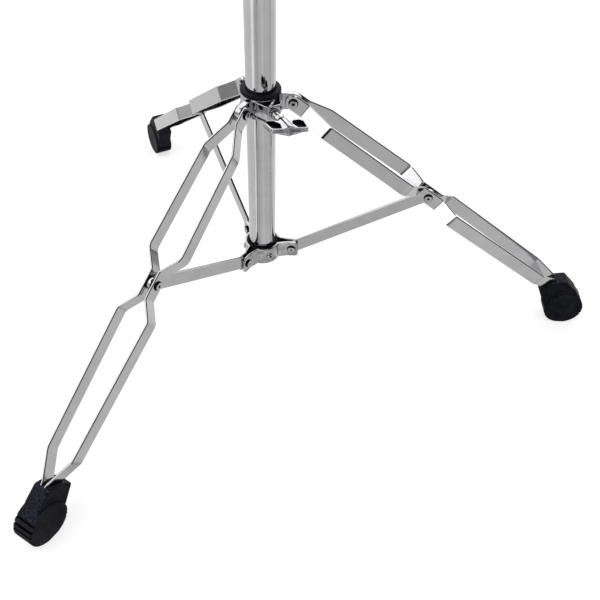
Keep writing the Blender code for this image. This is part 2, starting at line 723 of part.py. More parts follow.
def foot_outline(seat):
    """Side view of the foot's block, (outward, up) from the centre of its round pad.

    The rubber sits on the strips' ends with a small turn of its own, the seat.
    """
    radius = FOOT_PAD_RADIUS
    flat = math.asin(FOOT_FLAT_LENGTH / 2 / radius)
    first = math.radians(22.0)
    last = -math.pi / 2 + flat
    right = [first + (last - first) * step / 7 for step in range(8)]
    low = -math.pi / 2 - flat
    end = -math.pi + math.radians(4.0)
    left = [low + (end - low) * step / 6 for step in range(7)]
    arc = [(radius * math.cos(turn), radius * math.sin(turn)) for turn in right + left]
    return foot_corners(seat) + arc


def foot_corners(seat):
    """Inner, lip, outer and shoulder corners of the block's top, turned by the foot's seat."""
    turn = Matrix.Rotation(seat, 2)
    points = (FOOT_SLEEVE_INNER, FOOT_SLEEVE_LIP, FOOT_SLEEVE_OUTER, FOOT_SHOULDER)
    corners = [turn @ Vector(point) for point in points]
    return [(corner.x, corner.y) for corner in corners]


def foot_mesh(seat):
    """Rubber foot in the open pose's upright frame, origin at the centre of its round pad."""
    half = FOOT_BLOCK_WIDTH / 2
    block = prism("foot", foot_outline(seat), -half, half)
    radius = FOOT_PAD_RADIUS
    flat = math.asin(FOOT_FLAT_LENGTH / 2 / radius)
    steps = ROUND_STEPS
    pad_outline = [
        (radius * math.cos(turn), radius * math.sin(turn))
        for turn in (
            -math.pi / 2 + flat + (2 * math.pi - 2 * flat) * step / steps for step in range(steps + 1)
        )
    ]
    pad = prism("pad", pad_outline, -FOOT_PAD_WIDTH / 2, FOOT_PAD_WIDTH / 2)
    to_leg = foot_in_leg().inverted()
    bevels = [foot_top_wedge(side, seat) for side in (1.0, -1.0)]
    return combine("foot", block, [pad], bevels + [moved(foot_slot(), to_leg)])


def foot_slot():
    """Room for the ends of both strips in the leg's frame, wider where they draw together."""
    half = STRIP_WIDTH / 2 + GAP
    start = LEG_LENGTH - FOOT_TAB_LENGTH + STRIP_THICKNESS / 2
    edge = FOOT_TAB_INNER + STRIP_THICKNESS + GAP
    side = [
        (start - FOOT_BEND_RUN, LOWER_BAY_END_WIDTH / 2 + GAP),
        (start, edge),
        (LEG_LENGTH + GAP, edge),
    ]
    outline = side + [(along, -across) for along, across in reversed(side)]
    return skin_rings("slot", [[(along, across, up) for along, across in outline] for up in (-half, half)])


def foot_top_wedge(side, seat):
    """Cutter that bevels the sleeve's top edge on one side of the foot."""
    _, start, end, _ = [Vector(corner) for corner in foot_corners(seat)]
    along = (end - start).normalized()
    up = Vector((-along.y, along.x))
    drop = 2.0 * FOOT_SIDE_BEVEL
    beyond = FOOT_BLOCK_WIDTH
    half = FOOT_BLOCK_WIDTH / 2
    rings = []
    for point in (start - along * beyond, end + along * beyond):
        low = point - up * drop
        high = point + up * drop
        rings.append([
            (low.x, side * (half + GAP), low.y),
            (point.x, side * (half - FOOT_SIDE_BEVEL), point.y),
            (high.x, side * (half - FOOT_SIDE_BEVEL), high.y),
            (high.x, side * (half + beyond), high.y),
            (low.x, side * (half + beyond), low.y),
        ])
    return skin_rings("wedge", rings)


def foot_in_leg():
    """Matrix that carries the foot's upright frame into the leg's frame."""
    place = Matrix.Translation((FOOT_PAD_ALONG_LEG, 0.0, -FOOT_PAD_UNDER_LEG))
    return place @ Matrix.Rotation(-LEG_SLOPE, 4, "Y")


def radial_frame(turn, radius, height, tilt):
    """Frame at a radius and height on one azimuth, tipped down from level by a tilt."""
    out = Matrix.Rotation(turn, 4, "Z") @ Matrix.Translation((radius, 0.0, height))
    return out @ Matrix.Rotation(tilt, 4, "Y")


def build_lower_hub(axis):
    """Sleeve, three plates with a screw each, and three brace rivets."""
    add_piece("lower_hub_sleeve", sleeve_mesh(), plastic(), axis)
    plate = plate_mesh()
    screw = plate_screw_mesh()
    rivet = rivet_mesh(EAR_OUTER)
    for index in range(LEG_COUNT):
        number = index + 1
        between = radial_frame((index + 0.5) * LEG_STEP, 0.0, LOWER_PIVOT_HEIGHT, 0.0)
        facing = make_empty(f"plate_{number}_middle", between, axis)
        add_piece(f"lower_hub_plate_{number}", plate, steel(), facing)
        add_piece(f"lower_hub_screw_{number}", screw, steel(), facing)
        pivot = radial_frame(index * LEG_STEP, LOWER_PIVOT_RADIUS, LOWER_PIVOT_HEIGHT, 0.0)
        at_pivot = make_empty(f"lower_pivot_{number}", pivot, axis)
        add_piece(f"lower_hub_rivet_{number}", rivet, steel(), at_pivot)


def build_leg_hub(axis):
    """Collar, bush, leg rivets and the wing screw, all on the empty that slides up the tube."""
    slide = make_empty("hub_slide", Matrix.Translation((0.0, 0.0, HUB_PIVOT_HEIGHT)), axis)
    add_piece("leg_hub", hub_mesh(), casting(), slide)
    add_piece("hub_bush", bush_mesh(), plastic(), slide)
    rivet = rivet_mesh(TAB_OUTER)
    for index in range(LEG_COUNT):
        pivot = radial_frame(index * LEG_STEP, HUB_PIVOT_RADIUS, 0.0, 0.0)
        at_pivot = make_empty(f"hub_pivot_{index + 1}", pivot, slide)
        add_piece(f"hub_rivet_{index + 1}", rivet, steel(), at_pivot)
    facing = make_empty("clamp_axis", Matrix.Rotation(CLAMP_AZIMUTH, 4, "Z"), slide)
    turned_wing = make_empty("wing_turn", Matrix.Rotation(WING_TURN, 4, "X"), facing)
    add_piece("clamp_screw", clamp_screw_mesh(), steel(), turned_wing)
    add_piece("wing_grip", wing_grip_mesh(), casting(), turned_wing)
    return slide


def build_leg(index, slide, pieces):
    """Two strips, mid rivet ends, mid washers and the foot of one leg, on its hub pivot."""
    number = index + 1
    frame = radial_frame(index * LEG_STEP, HUB_PIVOT_RADIUS, 0.0, LEG_SLOPE)
    leg = make_empty(f"leg_{number}_fold", frame, slide)
    mid = make_empty(f"leg_{number}_mid", Matrix.Translation((LEG_PIVOT_TO_MID, 0.0, 0.0)), leg)
    for word in ("left", "right"):
        add_piece(f"leg_{number}_{word}_strip", pieces[f"{word}_strip"], steel(), leg)
        add_piece(f"leg_{number}_{word}_rivet", pieces[f"{word}_rivet"], steel(), mid)
        add_piece(f"leg_{number}_{word}_washer", pieces[f"{word}_washer"], plastic(), mid)
    foot = moved(foot_mesh(FOOT_SEATS[index % len(FOOT_SEATS)]), foot_in_leg())
    add_piece(f"leg_{number}_foot", foot, rubber(), leg)


def leg_pieces():
    """Meshes that the three legs share, each in the leg's frame or at its mid pivot."""
    pieces = {}
    washer_inner = TAB_INNER - GAP - MID_WASHER_THICKNESS
    for word, side in (("left", 1.0), ("right", -1.0)):
        pieces[f"{word}_strip"] = strip_mesh(side)
        pieces[f"{word}_rivet"] = half_rivet_mesh(washer_inner, TAB_OUTER, side)
        pieces[f"{word}_washer"] = washer_mesh(washer_inner, TAB_INNER - GAP, side)
    return pieces


def build_brace(index, axis, brace):
    """Brace of one leg on its lower hub pivot."""
    frame = radial_frame(index * LEG_STEP, LOWER_PIVOT_RADIUS, LOWER_PIVOT_HEIGHT, -BRACE_SLOPE)
    fold = make_empty(f"brace_{index + 1}_fold", frame, axis)
    add_piece(f"brace_{index + 1}", brace, steel(), fold)


def main():
    """Builds the stand round its tube's axis."""
    clear_scene()
    axis = make_empty("stand_axis", Matrix.Translation((STAND_X, 0.0, 0.0)))
    add_piece("base_tube", base_tube_mesh(), steel(), axis)
    build_lower_hub(axis)
    slide = build_leg_hub(axis)
    pieces = leg_pieces()
    brace = brace_mesh()
    for index in range(LEG_COUNT):
        build_leg(index, slide, pieces)
        build_brace(index, axis, brace)
    bpy.context.view_layer.update()


main()
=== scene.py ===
"""Looks of the double-braced tripod base of a tom and cymbal stand.

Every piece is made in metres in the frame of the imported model: +Z up, floor at z = 0,
the base tube upright at x = STAND_X.
"""

import logging
import math
from dataclasses import dataclass
from enum import Enum
from typing import Iterable, Sequence

import bmesh
import bpy
from mathutils import Matrix, Vector

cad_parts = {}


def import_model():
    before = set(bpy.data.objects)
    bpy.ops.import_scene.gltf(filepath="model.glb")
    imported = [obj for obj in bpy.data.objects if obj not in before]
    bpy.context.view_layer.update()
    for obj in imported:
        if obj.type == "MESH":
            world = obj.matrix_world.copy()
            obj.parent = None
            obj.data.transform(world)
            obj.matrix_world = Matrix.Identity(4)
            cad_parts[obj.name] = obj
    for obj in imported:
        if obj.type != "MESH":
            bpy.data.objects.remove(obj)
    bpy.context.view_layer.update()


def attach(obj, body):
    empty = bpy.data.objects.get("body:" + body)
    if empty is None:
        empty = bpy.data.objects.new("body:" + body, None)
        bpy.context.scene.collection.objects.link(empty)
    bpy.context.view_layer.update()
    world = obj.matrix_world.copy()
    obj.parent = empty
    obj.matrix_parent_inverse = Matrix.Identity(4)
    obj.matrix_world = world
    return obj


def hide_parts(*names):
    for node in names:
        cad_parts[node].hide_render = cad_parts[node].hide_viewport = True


LOG = logging.getLogger("stand")
Colour = tuple[float, float, float]
Flat = tuple[float, float]

# The part's own places and sizes: heights over the floor, and radii from the tube's axis.
STAND_X = -0.09969613556250492
HUB_HEIGHT = 0.30481251833661444
LOWER_HEIGHT = 0.09958746840111428
LEG_COUNT = 3
LEG_STEP = 2.0 * math.pi / LEG_COUNT
LEG_SLOPE = math.radians(35.9)
BRACE_SLOPE = math.radians(29.92548634)
HUB_PIVOT_RADIUS = 0.0346
LOWER_PIVOT_RADIUS = 0.0365
STRIP_THICKNESS = 0.0025
TAB_INNER = 0.0035
TAB_OUTER = TAB_INNER + STRIP_THICKNESS
BRACE_THICKNESS = 0.003
# Air between pieces that lie against each other.
GAP = 0.0003
# How far in degrees each foot is turned on its leg.
FOOT_SEATS = (-2.0, -1.0, 9.0)

# How far a cutter runs past what it cuts.
CLEAR = 0.02
# A corner that is this near to straight, in radians, isn't rounded.
STRAIGHT = 0.002
# The most of a side or a thickness that one rounding may use.
SIDE_SHARE = 0.48
# The most of a strip's half width that its broken edge may use at a rounded tip.
TIP_SHARE = 0.8
# How far along its arc, in steps, a rounded tip begins, so that it isn't a knife edge.
TIP_START = 0.12
# Height in metres that the relief group's 1 stands for.
RELIEF_UNIT = 0.001
# How strongly large faces pull the shading of a piece's edges.
SHADING_WEIGHT = 60

# Lays +Z along +X.
ALONG_X = Matrix.Rotation(math.pi / 2, 4, "Y")
# Mirrors left and right, or swaps two axes, which mirrors as well; moved() turns the faces back.
MIRROR_Y = Matrix.Scale(-1.0, 4, (0.0, 1.0, 0.0))
SWAP_XY = Matrix(((0.0, 1.0, 0.0, 0.0), (1.0, 0.0, 0.0, 0.0), (0.0, 0.0, 1.0, 0.0), (0.0, 0.0, 0.0, 1.0)))
SWAP_YZ = Matrix(((1.0, 0.0, 0.0, 0.0), (0.0, 0.0, 1.0, 0.0), (0.0, 1.0, 0.0, 0.0), (0.0, 0.0, 0.0, 1.0)))


class Side(Enum):
    """Which strip of a leg, seen from the tube along the leg."""

    LEFT = 1.0
    RIGHT = -1.0

    def outwards(self) -> Matrix:
        """Turn that lays +Z across the leg, out to this side."""
        return Matrix.Rotation(-self.value * math.pi / 2, 4, "X")


class Slot(Enum):
    """Material slots of the record that pieces take their finish from."""

    TUBE = "tube_chrome"
    STRIP = "strip_chrome"
    PLATE = "plate_chrome"
    FASTENER = "fastener_chrome"
    CAST = "cast_chrome"
    PLASTIC = "black_plastic"
    RUBBER = "black_rubber"


class Face(Enum):
    """Material places on a mesh: its own finish, and painted shade on the inside of its recesses, grooves and
    crevices.
    """

    SKIN = 0
    # Faces that take the painted shade, a near-black colour where shade falls.
    PAINTED_SHADE = 1


class Blend(Enum):
    """What a Mix node mixes."""

    COLOUR = "RGBA"
    LEVEL = "FLOAT"


class Socket(Enum):
    """Kinds of socket on the shared node groups."""

    COLOUR = "NodeSocketColor"
    NUMBER = "NodeSocketFloat"


def smooth_step(low: float, high: float, value: float) -> float:
    """Soft step from 0 at low to 1 at high.

    Args:
        low: Value at which the step starts.
        high: Value at which the step is complete.
        value: Value to place on the step.

    Returns:
        A number from 0 to 1.
    """
    share = min(1.0, max(0.0, (value - low) / (high - low)))
    return share * share * (3.0 - 2.0 * share)


def spread(start: float, end: float, steps: int) -> list[float]:
    """Evenly spaced numbers from start to end, both included."""
    return [start + (end - start) * step / steps for step in range(steps + 1)]


def on_circle(turns: Sequence[float], radius: float) -> list[Vector]:
    """Points on a circle at the given turns."""
    return [Vector((math.cos(turn), math.sin(turn))) * radius for turn in turns]


def radial_frame(turn: float, radius: float, height: float, tilt: float = 0.0) -> Matrix:
    """Frame on one azimuth round the tube, tipped down from level.

    Args:
        turn: Azimuth in radians.
        radius: Distance from the tube's axis.
        height: Height above the floor.
        tilt: Downward slope of the frame's X axis in radians.

    Returns:
        Matrix from the local frame to the stand's frame.
    """
    place = Matrix.Translation((STAND_X, 0.0, 0.0)) @ Matrix.Rotation(turn, 4, "Z")
    return place @ Matrix.Translation((radius, 0.0, height)) @ Matrix.Rotation(tilt, 4, "Y")


def mesh_from(name: str, verts: Sequence, faces: Sequence) -> bpy.types.Mesh:
    """Closed mesh with its faces turned outwards.

    Args:
        name: Name of the mesh.
        verts: Corner points.
        faces: Corner numbers of each face.

    Returns:
        The new mesh.
    """
    mesh = bpy.data.meshes.new(name)
    mesh.from_pydata([tuple(v) for v in verts], [], faces)
    body = bmesh.new()
    body.from_mesh(mesh)
    bmesh.ops.recalc_face_normals(body, faces=body.faces)
    body.to_mesh(mesh)
    body.free()
    return mesh


def skin(name: str, rings: Sequence[Sequence], loop: bool = False) -> bpy.types.Mesh:
    """Joins rings of equal point count.

    Args:
        name: Name of the mesh.
        rings: Rings of points in order.
        loop: True where the last ring joins the first one and there are no caps.

    Returns:
        The closed mesh.
    """
    count = len(rings[0])
    rows = len(rings)
    verts = [point for ring in rings for point in ring]
    faces = []
    for row in range(rows if loop else rows - 1):
        here = row * count
        there = (row + 1) % rows * count
        for step in range(count):
            after = (step + 1) % count
            faces.append((here + step, here + after, there + after, there + step))
    if not loop:
        faces.append(tuple(range(count)))
        faces.append(tuple(range((rows - 1) * count, rows * count)))
    return mesh_from(name, verts, faces)


def fillet(
    points: Sequence[Flat],
    radii: Sequence[float],
    steps: int,
    closed: bool,
) -> list[tuple[Vector, int]]:
    """Rounds the corners of a flat path with arcs.

    Args:
        points: Corners of the path.
        radii: Radius at each corner, 0 for a sharp one.
        steps: Pieces of each arc.
        closed: True for an outline whose end joins its start.

    Returns:
        The new points, each with the number of the corner it came from.
    """
    corners = [Vector(point) for point in points]
    last = len(corners) - 1
    rounded: list[tuple[Vector, int]] = []
    for index, corner in enumerate(corners):
        radius = radii[index]
        if radius <= 0.0 or (not closed and index in (0, last)):
            rounded.append((corner, index))
            continue
        before = corners[index - 1] - corner
        after = corners[(index + 1) % (last + 1)] - corner
        one, two = before.normalized(), after.normalized()
        angle = math.acos(max(-1.0, min(1.0, one.dot(two))))
        if angle > math.pi - STRAIGHT:
            rounded.append((corner, index))
            continue
        reach = min(radius / math.tan(angle / 2), SIDE_SHARE * min(before.length, after.length))
        radius = reach * math.tan(angle / 2)
        centre = corner + (one + two).normalized() * (radius / math.sin(angle / 2))
        start = corner + one * reach - centre
        end = corner + two * reach - centre
        sweep = math.pi - angle
        sign = 1.0 if start.x * end.y - start.y * end.x > 0.0 else -1.0
        for step in range(steps + 1):
            rounded.append((centre + Matrix.Rotation(sign * sweep * step / steps, 2) @ start, index))
    return rounded


def soft_path(points: Sequence[Flat], radii: Sequence[float], steps: int = 4, closed: bool = True) -> list[Vector]:
    """Flat path with its corners rounded as fillet() rounds them, without the corners' numbers."""
    return [point for point, _ in fillet(points, radii, steps, closed)]


def lathe(
    name: str,
    profile: Sequence[Flat],
    radii: Sequence[float],
    steps: int = 96,
    loop: bool = True,
) -> bpy.types.Mesh:
    """Solid of revolution round Z with rounded corners.

    Args:
        name: Name of the mesh.
        profile: (radius, height) corners.
        radii: Rounding of each corner.
        steps: Pieces of a full turn.
        loop: True where the profile closes on itself, as a tube's wall does.

    Returns:
        The closed mesh.
    """
    rings = []
    for point in soft_path(profile, radii, closed=loop):
        ring = []
        for step in range(steps):
            turn = 2.0 * math.pi * step / steps
            ring.append((point.x * math.cos(turn), point.x * math.sin(turn), point.y))
        rings.append(ring)
    return skin(name, rings, loop)


def rod(name: str, core: float, radius: float, low: float, high: float, steps: int) -> bpy.types.Mesh:
    """Plain rod along Z with flat ends.

    Args:
        name: Name of the mesh.
        core: Radius of the small disc in the middle of each end.
        radius: Radius of the rod.
        low: Height of its lower end.
        high: Height of its upper end.
        steps: Pieces of a full turn.

    Returns:
        The closed mesh.
    """
    profile = [(core, low), (radius, low), (radius, high), (core, high)]
    return lathe(name, profile, [0.0] * len(profile), steps, loop=False)


def post(name: str, ring: Sequence[Flat], low: float, high: float) -> bpy.types.Mesh:
    """Plan ring of (x, y) points carried straight up between two heights."""
    return skin(name, [[(x, y, level) for x, y in ring] for level in (low, high)])


def plank(name: str, ring: Sequence[Flat], half: float) -> bpy.types.Mesh:
    """Side-view ring of (x, z) points carried straight along Y, half of it to each side."""
    return skin(name, [[(x, side, z) for x, z in ring] for side in (-half, half)])


def inset(outline: Sequence[Vector], distance: float) -> list[Vector]:
    """Draws a closed outline in by a distance, each corner along its mitre.

    Args:
        outline: Corners in order.
        distance: How far every side moves inwards.

    Returns:
        The smaller outline.
    """
    count = len(outline)
    area = sum(a.x * b.y - b.x * a.y for a, b in zip(outline, list(outline[1:]) + [outline[0]]))
    sign = 1.0 if area > 0.0 else -1.0
    smaller = []
    for index, corner in enumerate(outline):
        one = (corner - outline[index - 1]).normalized()
        two = (outline[(index + 1) % count] - corner).normalized()
        left_one = Vector((-one.y, one.x)) * sign
        left_two = Vector((-two.y, two.x)) * sign
        mitre = (left_one + left_two).normalized()
        smaller.append(corner + mitre * (distance / max(0.5, mitre.dot(left_one))))
    return smaller


def bevelled_prism(
    name: str,
    outline: Sequence[Vector],
    low: float,
    high: float,
    edge: float,
    steps: int = 3,
) -> bpy.types.Mesh:
    """Outline of (x, z) points pushed along Y, with rounded rims.

    Args:
        name: Name of the mesh.
        outline: Side view of the solid.
        low: Lower end along Y.
        high: Upper end along Y.
        edge: Radius of the rims.
        steps: Pieces of each rim's arc.

    Returns:
        The closed mesh.
    """
    turns = [math.pi / 2 * step / steps for step in range(steps + 1)]
    rings = []
    for end, inwards, order in ((low, 1.0, turns[::-1]), (high, -1.0, turns)):
        for turn in order:
            along = end + inwards * edge * (1.0 - math.sin(turn))
            drawn = edge * (1.0 - math.cos(turn))
            rings.append([(point.x, along, point.y) for point in inset(outline, drawn)])
    return skin(name, rings)


def upright_prism(name: str, outline: Sequence[Vector], low: float, high: float, edge: float) -> bpy.types.Mesh:
    """Plan outline of (x, y) points pushed up between two heights, with rounded rims."""
    return moved(bevelled_prism(name, outline, low, high, edge), SWAP_YZ)


def section(half: float, thickness: float, edge: float) -> list[Flat]:
    """Cross-section of a strip with broken edges, (up, through) points.

    Args:
        half: Half of the strip's width.
        thickness: Thickness of the strip.
        edge: Size of its four broken edges.

    Returns:
        Points of the section in order.
    """
    radius = min(edge, TIP_SHARE * half, SIDE_SHARE * thickness)
    points = []
    for corner in range(4):
        up = 1.0 if corner in (0, 3) else -1.0
        through = 1.0 if corner in (0, 1) else -1.0
        for end in (corner, corner + 1):
            turn = math.pi / 2 * end
            points.append((
                up * (half - radius) + radius * math.cos(turn),
                through * (thickness / 2 - radius) + radius * math.sin(turn),
            ))
    return points


def strip_sweep(
    name: str,
    path: Sequence[tuple[Vector, float]],
    thickness: float,
    offset: float,
    edge: float,
) -> bpy.types.Mesh:
    """Flat steel bent along a path in the XY plane and standing up in Z.

    Args:
        name: Name of the mesh.
        path: Points of the path, each with the strip's half width there.
        thickness: Thickness of the steel.
        offset: How far its middle lies to the left of the path.
        edge: Radius of its edges.

    Returns:
        The closed mesh.
    """
    points = [point for point, _ in path]
    rings = []
    for index, (point, half) in enumerate(path):
        before = points[index] - points[index - 1] if index > 0 else points[1] - points[0]
        after = points[index + 1] - point if index < len(points) - 1 else before
        one = Vector((-before.y, before.x)).normalized()
        two = Vector((-after.y, after.x)).normalized()
        mitre = (one + two).normalized()
        mitre = mitre / mitre.dot(one)
        ring = []
        for up, through in section(half, thickness, edge):
            place = point + mitre * (offset + through)
            ring.append((place.x, place.y, up))
        rings.append(ring)
    return skin(name, rings)


def round_tip(half: float, corner: float, steps: int = 7) -> list[Flat]:
    """Distances beyond the start of a rounded end, outermost first, and the half width at each."""
    turns = [math.pi / 2 * (step + TIP_START) / (steps + TIP_START) for step in range(steps)]
    return [(corner * math.cos(turn), half - corner + corner * math.sin(turn)) for turn in turns]


def moved(mesh: bpy.types.Mesh, matrix: Matrix) -> bpy.types.Mesh:
    """Moves a mesh and keeps its faces turned outwards.

    Args:
        mesh: Mesh to move.
        matrix: Where to; it may mirror.

    Returns:
        The same mesh.
    """
    mesh.transform(matrix)
    if matrix.determinant() < 0.0:
        mesh.flip_normals()
    return mesh


def joined(name: str, meshes: Iterable[bpy.types.Mesh]) -> bpy.types.Mesh:
    """Puts several closed meshes into one.

    Args:
        name: Name of the mesh.
        meshes: The meshes, which stay as they are.

    Returns:
        The new mesh.
    """
    body = bmesh.new()
    for mesh in meshes:
        body.from_mesh(mesh)
    result = bpy.data.meshes.new(name)
    body.to_mesh(result)
    body.free()
    return result


def all_on(mesh: bpy.types.Mesh, place: Face) -> None:
    """Gives a mesh its material places and puts every face on one of them.

    Args:
        mesh: Mesh to prepare.
        place: Place that all its faces take.
    """
    while len(mesh.materials) < len(Face):
        mesh.materials.append(None)
    for face in mesh.polygons:
        face.material_index = place.value


def carved(
    mesh: bpy.types.Mesh,
    cutters: Iterable[bpy.types.Mesh],
    union: Iterable[bpy.types.Mesh] = (),
    plated: Iterable[bpy.types.Mesh] = (),
) -> bpy.types.Mesh:
    """Adds and cuts closed meshes; the faces that the cutters leave take the painted shade.

    Args:
        mesh: The solid to work on.
        cutters: Solids taken away from it; the faces they leave carry painted shade.
        union: Solids added to it first.
        plated: Solids taken away whose faces keep the piece's own finish.

    Returns:
        The finished mesh.
    """
    scene = bpy.context.scene.collection
    all_on(mesh, Face.SKIN)
    body = bpy.data.objects.new("solid", mesh)
    scene.objects.link(body)
    work = [(tool, "UNION", Face.SKIN) for tool in union]
    work += [(tool, "DIFFERENCE", Face.SKIN) for tool in plated]
    # Faces left by these cutters are painted with shade.
    work += [(tool, "DIFFERENCE", Face.PAINTED_SHADE) for tool in cutters]
    tools = []
    for tool_mesh, operation, place in work:
        all_on(tool_mesh, place)
        tool = bpy.data.objects.new("tool", tool_mesh)
        scene.objects.link(tool)
        tools.append(tool)
        boolean = body.modifiers.new(operation, "BOOLEAN")
        boolean.operation = operation
        boolean.solver = "EXACT"
        boolean.object = tool
    bpy.context.view_layer.update()
    result = bpy.data.meshes.new_from_object(body.evaluated_get(bpy.context.evaluated_depsgraph_get()))
    for thing in [body] + tools:
        bpy.data.objects.remove(thing, do_unlink=True)
    return result


def supply(tree: bpy.types.NodeTree, value: object, socket: bpy.types.NodeSocket) -> None:
    """Sets an input to a number or colour, or links another socket to it.

    Args:
        tree: Tree that holds the input.
        value: Number, colour or socket.
        socket: The input.
    """
    if isinstance(value, (float, tuple)):
        socket.default_value = value
    else:
        tree.links.new(value, socket)


def calculated(tree: bpy.types.NodeTree, operation: str, *values: object) -> bpy.types.NodeSocket:
    """Adds a Math node.

    Args:
        tree: Tree to add to.
        operation: Name of the sum.
        values: Its terms, numbers or sockets.

    Returns:
        The result's socket.
    """
    node = tree.nodes.new("ShaderNodeMath")
    node.operation = operation
    for index, value in enumerate(values):
        supply(tree, value, node.inputs[index])
    return node.outputs["Value"]


def mixed(tree: bpy.types.NodeTree, kind: Blend, mask: object, below: object, above: object) -> bpy.types.NodeSocket:
    """Lays one colour or level over another by a mask.

    Args:
        tree: Tree to add to.
        kind: Whether colours or levels are mixed.
        mask: Where the upper one shows.
        below: The lower one, a value or a socket.
        above: The upper one, a value or a socket.

    Returns:
        The result's socket.
    """
    node = tree.nodes.new("ShaderNodeMix")
    node.data_type = kind.value
    for label, value in (("Factor", mask), ("A", below), ("B", above)):
        supply(tree, value, node.inputs[label])
    return node.outputs["Result"]


def ranged(
    tree: bpy.types.NodeTree,
    value: object,
    low: float,
    high: float,
    start: object = 0.0,
    end: object = 1.0,
    soft: bool = False,
) -> bpy.types.NodeSocket:
    """Maps a value from one range to another.

    Args:
        tree: Tree to add to.
        value: Socket to map.
        low: Value that gives start.
        high: Value that gives end.
        start: Number or socket at low.
        end: Number or socket at high.
        soft: True where the value eases in and out.

    Returns:
        The mapped value's socket.
    """
    node = tree.nodes.new("ShaderNodeMapRange")
    node.interpolation_type = "SMOOTHSTEP" if soft else "LINEAR"
    items = {"Value": value, "From Min": low, "From Max": high, "To Min": start, "To Max": end}
    for label, item in items.items():
        supply(tree, item, node.inputs[label])
    return node.outputs["Result"]


def noise(
    tree: bpy.types.NodeTree,
    place: object,
    scale: object,
    detail: float,
    rough: float,
) -> bpy.types.NodeSocket:
    """Adds a noise texture.

    Args:
        tree: Tree to add to.
        place: Coordinates.
        scale: Socket or number for the scale.
        detail: Octaves.
        rough: Roughness of the octaves.

    Returns:
        The socket of its factor.
    """
    texture = tree.nodes.new("ShaderNodeTexNoise")
    items = {"Vector": place, "Scale": scale, "Detail": detail, "Roughness": rough}
    for label, item in items.items():
        supply(tree, item, texture.inputs[label])
    return texture.outputs["Fac"]


